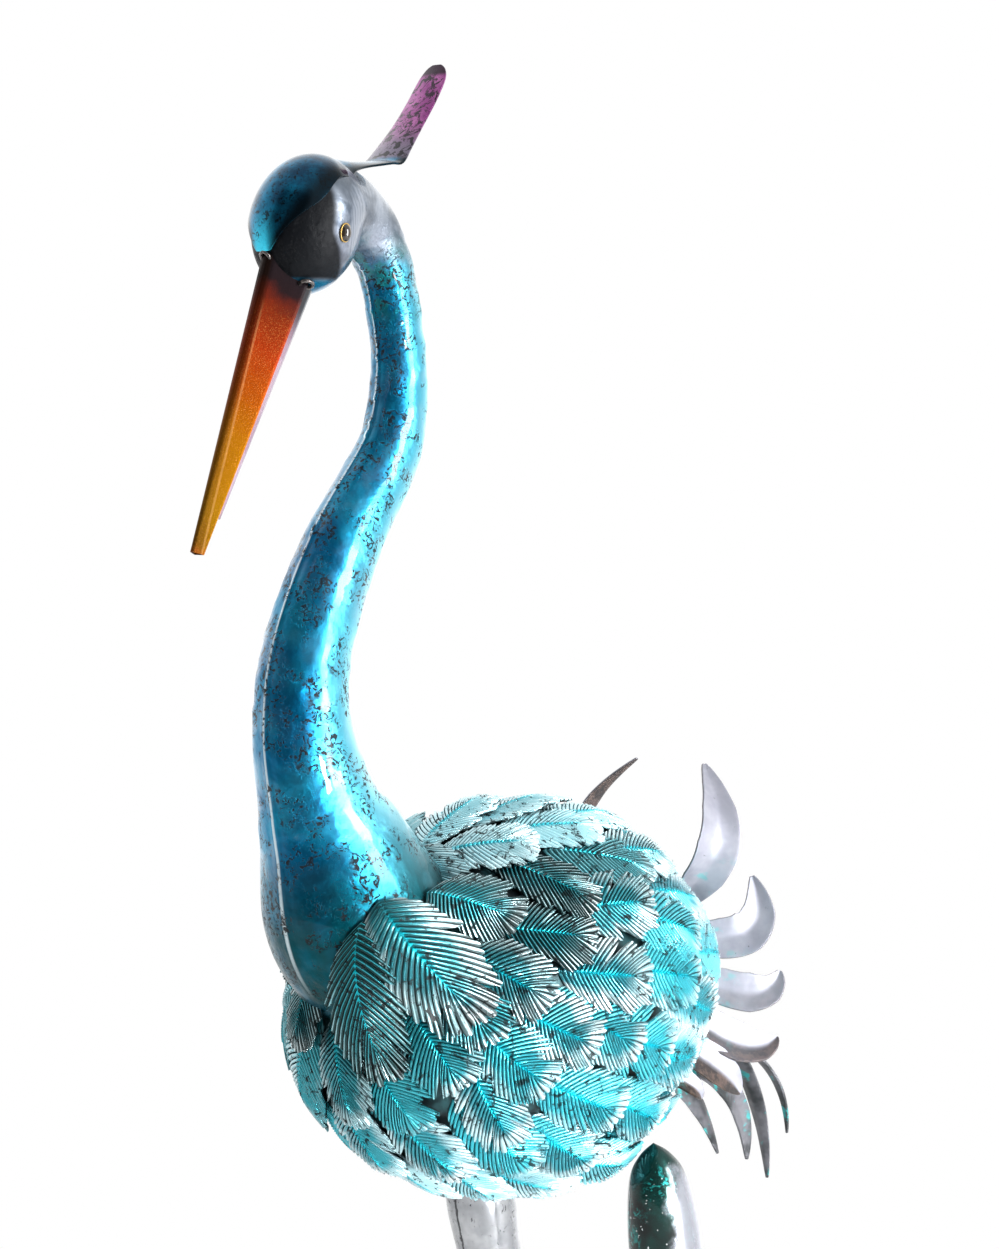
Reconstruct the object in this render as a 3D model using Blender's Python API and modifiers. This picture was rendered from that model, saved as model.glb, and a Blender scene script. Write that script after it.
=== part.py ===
# Crane garden statue in painted sheet steel, standing on a low oval base.
# Metres, +Z up. The bird faces -Y, its left side is +X, and the origin is at
# the middle of the base's underside.

import bpy
import bmesh
from math import cos, pi, radians, sin, sqrt
from mathutils import Matrix, Vector

# Fits
CLEARANCE = 0.0003           # gap between pieces that touch
ROOT_DEPTH = 0.012           # how far a tail blade's root sits in the body

# Body: an egg covered in feathers
BODY_LENGTH = 0.281
BODY_WIDTH = 0.227
BODY_HEIGHT = 0.230
BELLY_HEIGHT = 0.4187        # from the floor to the lowest feathers
BODY_SETBACK = 0.0141        # widest place of the egg, behind the base's middle
CHEST_SHARE = 0.54           # part of the length that lies before that place
FEATHER_LENGTH = 0.058
FEATHER_WIDTH = 0.043
FEATHER_RISE = 0.0065        # tip of a feather above the egg
FEATHER_SINK = 0.003         # root of a feather below the egg's surface
FEATHER_RIB = 0.0014         # midrib above the feather's edges
FEATHER_OVERLAP = 0.94       # share of a feather's area that stays in view

# Neck and head, one pressed shell
NECK_HEIGHT = 0.4311         # from the egg's middle to the top bend's middle line
NECK_RADIUS = 0.0150         # at its slimmest
HEAD_LENGTH = 0.074
HEAD_WIDTH = 0.058
EYE_DIAMETER = 0.0095
EYE_BULGE = 0.0030

# Beak
BEAK_ANGLE = radians(72.4)   # below level
BEAK_LENGTH = 0.187          # from the head's middle to the tip
BEAK_WIDTH = 0.031
BEAK_DEPTH = 0.032
BEAK_TIP = 0.25              # tip's width and depth as a share of the base's
MOUTH_GAP = 0.0006

# Crown plate and crest, one bent sheet
CREST_THICKNESS = 0.0012
CREST_WIDTH = 0.0235
CREST_LENGTH = 0.0686
CREST_LEAN = radians(37.8)   # of the upright tongue, backwards
CROWN_WIDTH = 0.045
CROWN_LIFT = 0.0008           # of the sheet over the round skull, for its flat facets

# Tail
BLADE_THICKNESS = 0.0014
PLUME_WIDTH = 0.021
HANGER_WIDTH = 0.016

# Legs, feet and base
LEG_SPREAD = 0.152           # between the two thighs' middles
ANKLE_SPREAD = 0.136
FOOT_SPREAD = 0.124
THIGH_DIAMETER = 0.041
ANKLE_DIAMETER = 0.020
THIGH_TOP = 0.455            # heights above the floor
ANKLE_HEIGHT = 0.235
THIGH_SETBACK = 0.046
ANKLE_SETBACK = 0.092
FOOT_SETBACK = 0.052
SHANK_DIAMETER = 0.011
TOE_LENGTH = 0.085
TOE_DIAMETER = 0.011
HIND_TOE_LENGTH = 0.045
TOE_ANGLE = radians(32)      # between neighbouring front toes
BASE_LENGTH = 0.300
BASE_WIDTH = 0.240
BASE_THICKNESS = 0.008
BASE_BEVEL = 0.0015

# The neck's middle line as shares of its height: forward, up, and the
# thickness there in slimmest radii
NECK_SHARES = (
    (0.225, 0.060, 3.20),
    (0.286, 0.137, 3.42),
    (0.329, 0.228, 2.72),
    (0.354, 0.284, 2.17),
    (0.378, 0.378, 1.79),
    (0.369, 0.471, 1.60),
    (0.314, 0.594, 1.43),
    (0.231, 0.718, 1.19),
    (0.213, 0.813, 1.04),
    (0.222, 0.890, 1.00),
    (0.246, 0.966, 1.04),
    (0.300, 1.012, 1.22),
    (0.360, 1.004, 1.30),
)

# Tail plumes of the left side: root, bend and tip from the egg's middle as
# shares of its half width, its back half's length and its half height (left,
# back, up), the way each faces, and its share of the plume width
PLUME_SHARES = {
    "top": ((0.243, 0.912, 0.424), (0.836, 0.806, 0.719), (0.252, 1.051, 1.152),
            (0.7, -0.7, 0.1), 1.30),
    "upper": ((0.336, 0.888, 0.240), (0.748, 1.124, 0.129), (0.495, 1.157, 0.553),
              (0.7, -0.7, 0.2), 1.20),
    "middle": ((0.393, 0.872, 0.028), (0.729, 1.059, -0.166), (0.673, 1.181, 0.055),
               (0.65, -0.65, 0.35), 1.10),
    "lower": ((0.383, 0.855, -0.175), (0.617, 1.043, -0.442), (0.617, 1.222, -0.313),
              (0.55, -0.4, 0.7), 0.95),
    "outer": ((0.439, 0.733, -0.313), (0.598, 0.912, -0.424), (0.505, 1.067, -0.618),
              (0.8, -0.35, 0.55), 0.85),
    "small": ((0.514, 0.570, -0.433), (0.636, 0.684, -0.479), (0.561, 0.733, -0.590),
              (0.9, -0.2, 0.4), 0.60),
}

# Hanging tail blades, given in the same way: the middle one and the left ones
HANGER_SHARES = {
    "middle": ((0.000, 0.969, -0.147), (0.000, 1.727, -0.332), (0.000, 1.784, -1.272),
               (0.0, 0.6, 0.8), 1.00),
    "inner": ((0.159, 0.937, -0.240), (0.374, 1.548, -0.350), (0.327, 1.597, -0.940),
              (0.4, 0.5, 0.8), 0.90),
    "outer": ((0.206, 0.847, -0.415), (0.243, 1.401, -0.516), (0.112, 1.515, -1.106),
              (0.9, -0.3, 0.3), 1.00),
}

# Derived places
BODY_MIDDLE = Vector((0.0, BODY_SETBACK, BELLY_HEIGHT + BODY_HEIGHT / 2))
EGG_FRONT = BODY_LENGTH * CHEST_SHARE - FEATHER_RISE
EGG_BACK = BODY_LENGTH * (1.0 - CHEST_SHARE) - FEATHER_RISE
EGG_SIDE = BODY_WIDTH / 2 - FEATHER_RISE
EGG_UP = BODY_HEIGHT / 2 - FEATHER_RISE
HEAD_MIDDLE = BODY_MIDDLE + Vector((0.0, -0.368, 0.9923)) * NECK_HEIGHT
SIDE = Vector((1.0, 0.0, 0.0))
BEAK_WAY = Vector((0.0, -cos(BEAK_ANGLE), -sin(BEAK_ANGLE)))
BROW_WAY = Vector((0.0, -sin(BEAK_ANGLE), cos(BEAK_ANGLE)))

# Paints: colour, roughness, metallic
PAINTS = {
    "neck_blue": ((0.02, 0.26, 0.42), 0.22, 0.80),
    "crown_blue": ((0.01, 0.16, 0.24), 0.22, 0.80),
    "beak_orange": ((0.55, 0.16, 0.03), 0.35, 0.60),
    "beak_pink": ((0.66, 0.50, 0.55), 0.35, 0.40),
    "eye_black": ((0.02, 0.02, 0.01), 0.10, 0.00),
    "feather_teal": ((0.04, 0.42, 0.48), 0.30, 0.75),
    "tail_silver": ((0.42, 0.42, 0.46), 0.32, 0.75),
    "leg_green": ((0.02, 0.07, 0.06), 0.28, 0.60),
    "base_black": ((0.03, 0.03, 0.03), 0.50, 0.30),
}


def clear_scene():
    for item in list(bpy.data.objects):
        bpy.data.objects.remove(item, do_unlink=True)


def make_collections():
    parts = bpy.data.collections.new("crane_garden_statue")
    cutters = bpy.data.collections.new("cutters")
    bpy.context.scene.collection.children.link(parts)
    bpy.context.scene.collection.children.link(cutters)
    return parts, cutters


def make_material(name):
    colour, roughness, metallic = PAINTS[name]
    material = bpy.data.materials.new(name)
    material.use_nodes = True
    shader = material.node_tree.nodes["Principled BSDF"]
    shader.inputs["Base Color"].default_value = (*colour, 1.0)
    shader.inputs["Roughness"].default_value = roughness
    shader.inputs["Metallic"].default_value = metallic
    material.diffuse_color = (*colour, 1.0)
    return material


def add_object(name, mesh, collection, material=None):
    item = bpy.data.objects.new(name, mesh)
    collection.objects.link(item)
    if material:
        mesh.materials.clear()
        mesh.materials.append(material)
    return item


def hide_cutter(item):
    item.hide_render = True
    item.display_type = "WIRE"
    return item


def finish_bmesh(bm, name):
    bm.normal_update()
    bmesh.ops.recalc_face_normals(bm, faces=bm.faces)
    mesh = bpy.data.meshes.new(name)
    bm.to_mesh(mesh)
    bm.free()
    return mesh


def applied_mesh(item, name):
    bpy.context.view_layer.update()
    graph = bpy.context.evaluated_depsgraph_get()
    mesh = bpy.data.meshes.new_from_object(item.evaluated_get(graph))
    mesh.transform(item.matrix_world)
    mesh.name = name
    return mesh


def boolean(item, cutter, operation, solver="EXACT"):
    modifier = item.modifiers.new(operation.title(), "BOOLEAN")
    modifier.operation = operation
    modifier.solver = solver
    modifier.object = cutter


def smooth(mesh, angle=radians(35)):
    mesh.shade_smooth()
    mesh.set_sharp_from_angle(angle=angle)


# Points on the egg

def egg_level(point):
    # 1 on the egg's surface, less inside
    step = point - BODY_MIDDLE
    along = EGG_FRONT if step.y < 0 else EGG_BACK
    return sqrt((step.x / EGG_SIDE) ** 2 + (step.y / along) ** 2 + (step.z / EGG_UP) ** 2)


def egg_normal(point):
    step = point - BODY_MIDDLE
    along = EGG_FRONT if step.y < 0 else EGG_BACK
    return Vector((step.x / EGG_SIDE ** 2, step.y / along ** 2, step.z / EGG_UP ** 2)).normalized()


def on_egg(point, lift=0.0):
    surface = BODY_MIDDLE + (point - BODY_MIDDLE) / egg_level(point)
    return surface + egg_normal(surface) * lift


def feather_flow(point):
    # Feathers lie along lines that leave the neck's foot and meet at the tail
    neck_foot = BODY_MIDDLE + Vector((0.0, -0.52 * EGG_FRONT, 0.72 * EGG_UP))
    tail = BODY_MIDDLE + Vector((0.0, 1.15 * EGG_BACK, 0.30 * EGG_UP))
    away = point - neck_foot
    toward = tail - point
    flow = away / away.length_squared + toward / toward.length_squared
    normal = egg_normal(point)
    return (flow - normal * flow.dot(normal)).normalized()


# Body

def feather_seats():
    # Seats spread evenly over the egg in a golden-angle spiral
    mean = (EGG_FRONT + EGG_BACK + 2 * EGG_SIDE + 2 * EGG_UP) / 6
    area = 4 * pi * mean ** 2
    count = round(area / (FEATHER_LENGTH * FEATHER_WIDTH * FEATHER_OVERLAP))
    golden = pi * (3 - sqrt(5))
    seats = []
    for index in range(count):
        level = 1 - 2 * (index + 0.5) / count
        ring = sqrt(1 - level * level)
        along = EGG_FRONT if level > 0 else EGG_BACK
        step = Vector((EGG_SIDE * ring * sin(golden * index), -along * level,
                       EGG_UP * ring * cos(golden * index)))
        seats.append(on_egg(BODY_MIDDLE + step))
    return seats


def make_feather(name, seat, collection):
    # A pointed leaf with a raised midrib whose underside is sunk in the egg
    bm = bmesh.new()
    flow = feather_flow(seat)
    across = egg_normal(seat).cross(flow)
    outline = ((0.0, 0.40), (0.32, 1.0), (0.70, 0.92), (1.0, 0.18))
    steps = len(outline) - 1
    grid = bmesh.ops.create_grid(bm, x_segments=steps, y_segments=2, size=1.0)["verts"]
    for vertex in grid:
        share, width = outline[round((vertex.co.x + 1) / 2 * steps)]
        side = vertex.co.y * width * FEATHER_WIDTH / 2
        lift = share * (FEATHER_RISE - FEATHER_RIB) - (1 - share) * FEATHER_SINK
        if abs(vertex.co.y) < 0.5:
            lift += FEATHER_RIB
        place = seat + flow * (share - 0.5) * FEATHER_LENGTH + across * side
        vertex.co = on_egg(place, lift)
    faces = list({face for vertex in grid for face in vertex.link_faces})
    skirt = bmesh.ops.extrude_face_region(bm, geom=faces)["geom"]
    for vertex in (part for part in skirt if isinstance(part, bmesh.types.BMVert)):
        vertex.co = on_egg(vertex.co, -2 * FEATHER_SINK)
    return add_object(name, finish_bmesh(bm, name), collection)


def make_egg(name):
    bm = bmesh.new()
    bmesh.ops.create_uvsphere(bm, u_segments=20, v_segments=12, radius=1.0)
    for vertex in bm.verts:
        along = EGG_FRONT if vertex.co.y < 0 else EGG_BACK
        step = Vector((vertex.co.x * EGG_SIDE, vertex.co.y * along, vertex.co.z * EGG_UP))
        vertex.co = BODY_MIDDLE + step
    return finish_bmesh(bm, name)


def make_body(parts, cutters, material, holes):
    # So many crossing leaves leave open edges with the EXACT solver
    egg = hide_cutter(add_object("egg", make_egg("egg"), cutters))
    for index, seat in enumerate(feather_seats()):
        feather = make_feather("feather_{:03d}".format(index), seat, cutters)
        boolean(egg, hide_cutter(feather), "UNION", "MANIFOLD")
    for hole in holes:
        boolean(egg, hole, "DIFFERENCE", "MANIFOLD")
    mesh = applied_mesh(egg, "feathered_body")
    egg.modifiers.clear()
    return add_object("feathered_body", keep_largest(mesh), parts, material)


def keep_largest(mesh):
    # The cuts leave crumbs of feathers, which go
    bm = bmesh.new()
    bm.from_mesh(mesh)
    left = set(bm.verts)
    groups = []
    while left:
        group = {left.pop()}
        front = list(group)
        while front:
            vertex = front.pop()
            for edge in vertex.link_edges:
                other = edge.other_vert(vertex)
                if other in left:
                    left.remove(other)
                    group.add(other)
                    front.append(other)
        groups.append(group)
    groups.sort(key=len)
    for group in groups[:-1]:
        bmesh.ops.delete(bm, geom=list(group), context="VERTS")
    bmesh.ops.triangulate(bm, faces=bm.faces)
    return finish_bmesh(bm, mesh.name)


# Neck and head

def spline_value(keys, position):
    # Catmull-Rom through the keys, position counted in keys
    index = min(int(position), len(keys) - 2)
    part = position - index
    before = keys[max(index - 1, 0)]
    first, second = keys[index], keys[index + 1]
    after = keys[min(index + 2, len(keys) - 1)]
    values = []
    for a, b, c, d in zip(before, first, second, after):
        values.append(b + 0.5 * part * (c - a + part * (2 * a - 5 * b + 4 * c - d
                                                        + part * (3 * (b - c) + d - a))))
    return values


def neck_stations(per_key=2):
    count = (len(NECK_SHARES) - 1) * per_key
    stations = []
    for index in range(count + 1):
        forward, up, thick = spline_value(NECK_SHARES, index / per_key)
        place = BODY_MIDDLE + Vector((0.0, -forward, up)) * NECK_HEIGHT
        stations.append((place, thick * NECK_RADIUS))
    return stations


def longer_by(stations, extra):
    # The same line, a little longer at both ends
    places = [place for place, radius in stations]
    low = places[0] + (places[0] - places[1]).normalized() * extra
    high = places[-1] + (places[-1] - places[-2]).normalized() * extra
    radii = [radius for place, radius in stations]
    return list(zip([low, *places[1:-1], high], radii))


def make_tube(name, stations, collection, extra=0.0, resolution=6):
    curve = bpy.data.curves.new(name, "CURVE")
    curve.dimensions = "3D"
    curve.bevel_depth = 1.0
    curve.bevel_resolution = resolution
    curve.use_fill_caps = True
    spline = curve.splines.new("POLY")
    spline.points.add(len(stations) - 1)
    for point, (place, radius) in zip(spline.points, longer_by(stations, extra)):
        point.co = (*place, 1.0)
        point.radius = radius + extra
    path = bpy.data.objects.new(name, curve)
    collection.objects.link(path)
    mesh = applied_mesh(path, name)
    bpy.data.objects.remove(path)
    bm = bmesh.new()
    bm.from_mesh(mesh)
    bmesh.ops.remove_doubles(bm, verts=bm.verts, dist=0.00001)
    return add_object(name, finish_bmesh(bm, name), collection)


def make_head_ball(name, collection, extra=0.0, segments=18):
    bm = bmesh.new()
    bmesh.ops.create_uvsphere(bm, u_segments=segments, v_segments=segments // 2, radius=1.0)
    radius = HEAD_WIDTH / 2 + extra
    length = HEAD_LENGTH / 2 + extra
    for vertex in bm.verts:
        turned = SIDE * vertex.co.x + BROW_WAY * vertex.co.y
        vertex.co = HEAD_MIDDLE + turned * radius + BEAK_WAY * vertex.co.z * length
    return add_object(name, finish_bmesh(bm, name), collection)


def head_level(point):
    step = point - HEAD_MIDDLE
    along = step.dot(BEAK_WAY) / (HEAD_LENGTH / 2)
    round_about = sqrt(step.dot(SIDE) ** 2 + step.dot(BROW_WAY) ** 2) / (HEAD_WIDTH / 2)
    return sqrt(along * along + round_about * round_about)


def eye_place(side):
    # Level with the head's middle, a little behind it
    step = SIDE * side + Vector((0.0, 0.04, -0.15))
    return HEAD_MIDDLE + step / head_level(HEAD_MIDDLE + step)


def make_eye(name, side, collection, material=None, extra=0.0):
    bm = bmesh.new()
    bmesh.ops.create_uvsphere(bm, u_segments=12, v_segments=6, radius=1.0)
    radius = EYE_DIAMETER / 2 + extra
    for vertex in bm.verts:
        flat = Vector((vertex.co.z * (EYE_BULGE + extra), vertex.co.x * radius * 0.75,
                       vertex.co.y * radius))
        vertex.co = eye_place(side) + flat
    mesh = finish_bmesh(bm, name)
    smooth(mesh)
    return add_object(name, mesh, collection, material)


def make_head_and_neck(parts, cutters, material):
    neck = make_tube("neck_tube", neck_stations(), cutters)
    ball = make_head_ball("head_ball", cutters)
    hide_cutter(neck)
    hide_cutter(ball)
    boolean(neck, ball, "UNION")
    for label, side in (("left", 1), ("right", -1)):
        socket = make_eye("eye_socket_" + label, side, cutters, extra=CLEARANCE)
        boolean(neck, hide_cutter(socket), "DIFFERENCE")
    mesh = applied_mesh(neck, "head_and_neck")
    neck.modifiers.clear()
    smooth(mesh)
    return add_object("head_and_neck", mesh, parts, material)


# Beak

def make_loft(name, rings, collection, material=None):
    # Closed skin through rings of equally many points, with flat ends
    bm = bmesh.new()
    rows = [[bm.verts.new(point) for point in ring] for ring in rings]
    size = len(rings[0])
    for one, two in zip(rows, rows[1:]):
        for index in range(size):
            after = (index + 1) % size
            bm.faces.new((one[index], one[after], two[after], two[index]))
    bm.faces.new(rows[0])
    bm.faces.new(rows[-1])
    mesh = finish_bmesh(bm, name)
    return add_object(name, mesh, collection, material)


def beak_rings(outline, reach):
    # Outline points as (share of half the width, share of the depth below the ridge)
    start = 0.169 * HEAD_LENGTH
    ridge = 0.40 * HEAD_WIDTH
    rings = []
    steps = 6
    for index in range(steps + 1):
        share = index / steps * reach
        size = 1 - (1 - BEAK_TIP) * share
        middle = HEAD_MIDDLE + BEAK_WAY * (start + (BEAK_LENGTH - start) * share)
        middle += BROW_WAY * (ridge + 0.07 * BEAK_DEPTH * share)
        rings.append([middle + SIDE * wide * size * BEAK_WIDTH / 2 - BROW_WAY * deep * size * BEAK_DEPTH
                      for wide, deep in outline])
    return rings


def make_beak(parts, cutters, upper_paint, lower_paint):
    mouth = 0.76
    gap = MOUTH_GAP / (BEAK_DEPTH * BEAK_TIP)
    upper = ((0.0, 0.0), (0.30, 0.07), (0.66, 0.42), (0.98, mouth),
             (-0.98, mouth), (-0.66, 0.42), (-0.30, 0.07))
    lower = ((0.82, mouth + gap), (0.70, 0.96 + gap), (0.0, 1.04 + gap),
             (-0.70, 0.96 + gap), (-0.82, mouth + gap))
    seat = hide_cutter(make_head_ball("beak_seat", cutters, extra=CLEARANCE))
    for name, outline, reach, paint in (("beak_upper", upper, 1.0, upper_paint),
                                        ("beak_lower", lower, 0.88, lower_paint)):
        beak = make_loft(name, beak_rings(outline, reach), parts, paint)
        boolean(beak, seat, "DIFFERENCE")


# Crown plate and crest

def crest_rows():
    # Each row: middle point, way up from the sheet, half width and sideways curl radius
    lift = CLEARANCE + CREST_THICKNESS / 2 + CROWN_LIFT
    rows = []
    widths = (0.12, 0.30, 0.44, 0.52, 0.56, 0.575, 0.565, 0.53)
    for index, width in enumerate(widths):
        angle = radians(-42.5 + 17.64 * index)
        way = BROW_WAY * cos(angle) - BEAK_WAY * sin(angle)
        point = HEAD_MIDDLE + way / head_level(HEAD_MIDDLE + way)
        rows.append((point + way * lift, way, width * CROWN_WIDTH, HEAD_WIDTH / 2))
    top = rows[-1][0]
    fold = HEAD_MIDDLE + Vector((0.0, 0.735 * HEAD_LENGTH, 0.515 * HEAD_LENGTH))
    strip = ((0.18, 0.43, 0.38), (0.42, 0.34, 0.52), (0.68, 0.31, 0.80), (0.88, 0.34, 1.07))
    for share, width, curl in strip:
        point = top.lerp(fold, share) - Vector((0.0, 0.0, 0.035 * HEAD_LENGTH * sin(pi * share)))
        rows.append((point, Vector((0.0, 0.08, 1.0)).normalized(), width * CROWN_WIDTH, curl * HEAD_WIDTH))
    tongue = Vector((0.0, sin(CREST_LEAN), cos(CREST_LEAN)))
    face = Vector((0.0, -cos(CREST_LEAN), sin(CREST_LEAN)))
    rows.append((fold, (face + Vector((0.0, 0.0, 1.0))).normalized(), 0.69 * CREST_WIDTH, 1.07 * HEAD_WIDTH))
    for share, width in ((0.16, 0.60), (0.40, 0.51), (0.65, 0.48), (0.86, 0.44), (0.96, 0.31), (1.0, 0.14)):
        point = fold + (tongue * share - face * 0.035 * sin(pi * share)) * CREST_LENGTH
        rows.append((point, face, width * CREST_WIDTH, 0.89 * HEAD_WIDTH))
    return rows


def make_crest(parts, material):
    rows = crest_rows()
    columns = 6
    bm = bmesh.new()
    bmesh.ops.create_grid(bm, x_segments=len(rows) - 1, y_segments=columns, size=1.0)
    for vertex in bm.verts:
        middle, up, half, curl = rows[round((vertex.co.x + 1) / 2 * (len(rows) - 1))]
        side = vertex.co.y * half
        drop = curl - sqrt(curl * curl - side * side)
        point = middle + SIDE * side - up * drop
        step = point - HEAD_MIDDLE
        floor = 1 + (CLEARANCE + CREST_THICKNESS / 2 + CROWN_LIFT) / (HEAD_WIDTH / 2)
        level = head_level(point)
        if level < floor:
            point = HEAD_MIDDLE + step * floor / level
        vertex.co = point
    mesh = finish_bmesh(bm, "crown_crest")
    crest = add_object("crown_crest", mesh, parts, material)
    shell = crest.modifiers.new("Sheet", "SOLIDIFY")
    shell.thickness = CREST_THICKNESS
    shell.offset = 0.0
    smooth(mesh)
    return crest


# Tail

def tail_point(shares):
    left, back, up = shares
    return BODY_MIDDLE + Vector((left * EGG_SIDE, back * EGG_BACK, up * EGG_UP))


def blade_mesh(name, form, width, extra):
    root, bend, tip, facing, share = form
    root, bend, tip = (tail_point(point) for point in (root, bend, tip))
    facing = Vector(facing).normalized()
    inward = (root - bend).normalized()
    root = root + inward * (ROOT_DEPTH + extra)
    outline = (0.50, 0.92, 1.0, 0.76, 0.14)
    steps = len(outline) - 1
    bm = bmesh.new()
    bmesh.ops.create_grid(bm, x_segments=steps, y_segments=2, size=1.0)
    for vertex in bm.verts:
        station = round((vertex.co.x + 1) / 2 * steps)
        part = station / steps
        middle = root * (1 - part) ** 2 + bend * 2 * part * (1 - part) + tip * part ** 2
        way = ((bend - root) * (1 - part) + (tip - bend) * part).normalized()
        across = way.cross(facing).normalized()
        half = outline[station] * width * share / 2 + extra
        crease = (1 - abs(vertex.co.y)) * 0.16 * width * share * outline[station]
        vertex.co = middle + across * vertex.co.y * half - across.cross(way) * crease
    return finish_bmesh(bm, name)


def make_blade(name, form, width, collection, material=None, extra=0.0):
    mesh = blade_mesh(name, form, width, extra)
    blade = add_object(name, mesh, collection, material)
    shell = blade.modifiers.new("Sheet", "SOLIDIFY")
    shell.thickness = BLADE_THICKNESS + 2 * extra
    shell.offset = 0.0
    return blade


def mirrored(form):
    root, bend, tip, facing, share = form
    flip = [(-point[0], point[1], point[2]) for point in (root, bend, tip, facing)]
    return (*flip, share)


def tail_forms():
    forms = {}
    for label, form in PLUME_SHARES.items():
        forms["tail_plume_" + label + "_left"] = (form, PLUME_WIDTH)
        forms["tail_plume_" + label + "_right"] = (mirrored(form), PLUME_WIDTH)
    for label, form in HANGER_SHARES.items():
        if label == "middle":
            forms["tail_hanger_middle"] = (form, HANGER_WIDTH)
        else:
            forms["tail_hanger_" + label + "_left"] = (form, HANGER_WIDTH)
            forms["tail_hanger_" + label + "_right"] = (mirrored(form), HANGER_WIDTH)
    return forms


# Legs and base

def leg_places(side):
    hip = Vector((side * LEG_SPREAD / 2, THIGH_SETBACK, THIGH_TOP))
    ankle = Vector((side * ANKLE_SPREAD / 2, ANKLE_SETBACK, ANKLE_HEIGHT))
    foot = Vector((side * FOOT_SPREAD / 2, FOOT_SETBACK, BASE_THICKNESS + CLEARANCE))
    return hip, ankle, foot


def make_thigh(name, side, collection, material=None, extra=0.0):
    # Turned drumstick: round top, full calf, knob at the ankle
    hip, ankle, foot = leg_places(side)
    length = (hip - ankle).length
    full = THIGH_DIAMETER / 2
    slim = ANKLE_DIAMETER / 2
    profile = ((0.0, 0.0), (0.45 * full, 0.39 * full), (0.80 * full, 1.07 * full), (full, 0.24 * length),
               (0.96 * full, 0.36 * length), (0.74 * full, 0.60 * length), (0.46 * full, 0.84 * length),
               (0.92 * slim, length - 1.6 * slim), (slim, length - 0.7 * slim),
               (0.72 * slim, length), (0.0, length + 0.2 * slim))
    bm = bmesh.new()
    points = []
    for index, (radius, down) in enumerate(profile):
        grown = radius + extra if radius else 0.0
        end = extra if index == 0 else -extra if index == len(profile) - 1 else 0.0
        points.append(bm.verts.new((grown, 0.0, end - down)))
    for one, two in zip(points, points[1:]):
        bm.edges.new((one, two))
    mesh = bpy.data.meshes.new(name)
    bm.to_mesh(mesh)
    bm.free()
    thigh = add_object(name, mesh, collection, material)
    thigh.location = hip
    thigh.rotation_mode = "QUATERNION"
    thigh.rotation_quaternion = (hip - ankle).to_track_quat("Z", "Y")
    turn = thigh.modifiers.new("Turn", "SCREW")
    turn.steps = 12
    turn.render_steps = 12
    turn.use_merge_vertices = True
    turn.merge_threshold = 0.00005
    return thigh


def make_shank(name, side, collection, material=None, extra=0.0):
    hip, ankle, foot = leg_places(side)
    way = (ankle - foot).normalized()
    low = foot + way * 0.3 * TOE_DIAMETER
    radius = SHANK_DIAMETER / 2
    shank = make_tube(name, ((low, radius), (ankle, radius)), collection, extra, resolution=4)
    if material:
        shank.data.materials.append(material)
    return shank


def make_toe(name, start, angle, length, collection):
    radius = TOE_DIAMETER / 2
    way = Vector((sin(angle), -cos(angle), 0.0))
    stations = []
    for share, thick, up in ((-0.06, 0.9, 0.4), (0.55, 0.8, 0.5), (0.85, 0.62, 0.35), (1.0, 0.25, 0.1)):
        stations.append((start + way * share * length + Vector((0.0, 0.0, up * radius)), thick * radius))
    return make_tube(name, stations, collection, resolution=2)


def make_foot(label, side, parts, cutters, material):
    hip, ankle, foot = leg_places(side)
    bm = bmesh.new()
    bmesh.ops.create_cone(bm, segments=12, cap_ends=True, radius1=1.1 * TOE_DIAMETER,
                          radius2=0.75 * TOE_DIAMETER, depth=1.6 * TOE_DIAMETER,
                          matrix=Matrix.Translation(foot + Vector((0.0, 0.0, 0.5 * TOE_DIAMETER))))
    hub = add_object("foot_hub_" + label, finish_bmesh(bm, "foot_hub"), cutters)
    hide_cutter(hub)
    toes = [(-TOE_ANGLE, 0.9 * TOE_LENGTH), (0.0, TOE_LENGTH),
            (TOE_ANGLE, 0.9 * TOE_LENGTH), (pi, HIND_TOE_LENGTH)]
    for index, (angle, length) in enumerate(toes):
        toe = make_toe("toe_{}_{}".format(label, index), foot, angle, length, cutters)
        boolean(hub, hide_cutter(toe), "UNION")
    bore = hide_cutter(make_shank("shank_bore_" + label, side, cutters, extra=CLEARANCE))
    boolean(hub, bore, "DIFFERENCE")
    mesh = applied_mesh(hub, "foot_" + label)
    hub.modifiers.clear()
    bm = bmesh.new()
    bm.from_mesh(mesh)
    cut = bmesh.ops.bisect_plane(bm, geom=bm.verts[:] + bm.edges[:] + bm.faces[:], plane_co=foot,
                                 plane_no=(0, 0, -1), clear_outer=True)
    rim = [part for part in cut["geom_cut"] if isinstance(part, bmesh.types.BMEdge)]
    bmesh.ops.holes_fill(bm, edges=rim)
    bmesh.ops.remove_doubles(bm, verts=bm.verts, dist=0.00001)
    bmesh.ops.triangulate(bm, faces=bm.faces)
    return add_object("foot_" + label, finish_bmesh(bm, "foot_" + label), parts, material)


def make_leg(label, side, parts, cutters, material):
    thigh = make_thigh("thigh_" + label, side, parts, material)
    socket = hide_cutter(make_shank("ankle_bore_" + label, side, cutters, extra=CLEARANCE))
    boolean(thigh, socket, "DIFFERENCE")
    make_shank("shank_" + label, side, parts, material)
    make_foot(label, side, parts, cutters, material)


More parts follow.
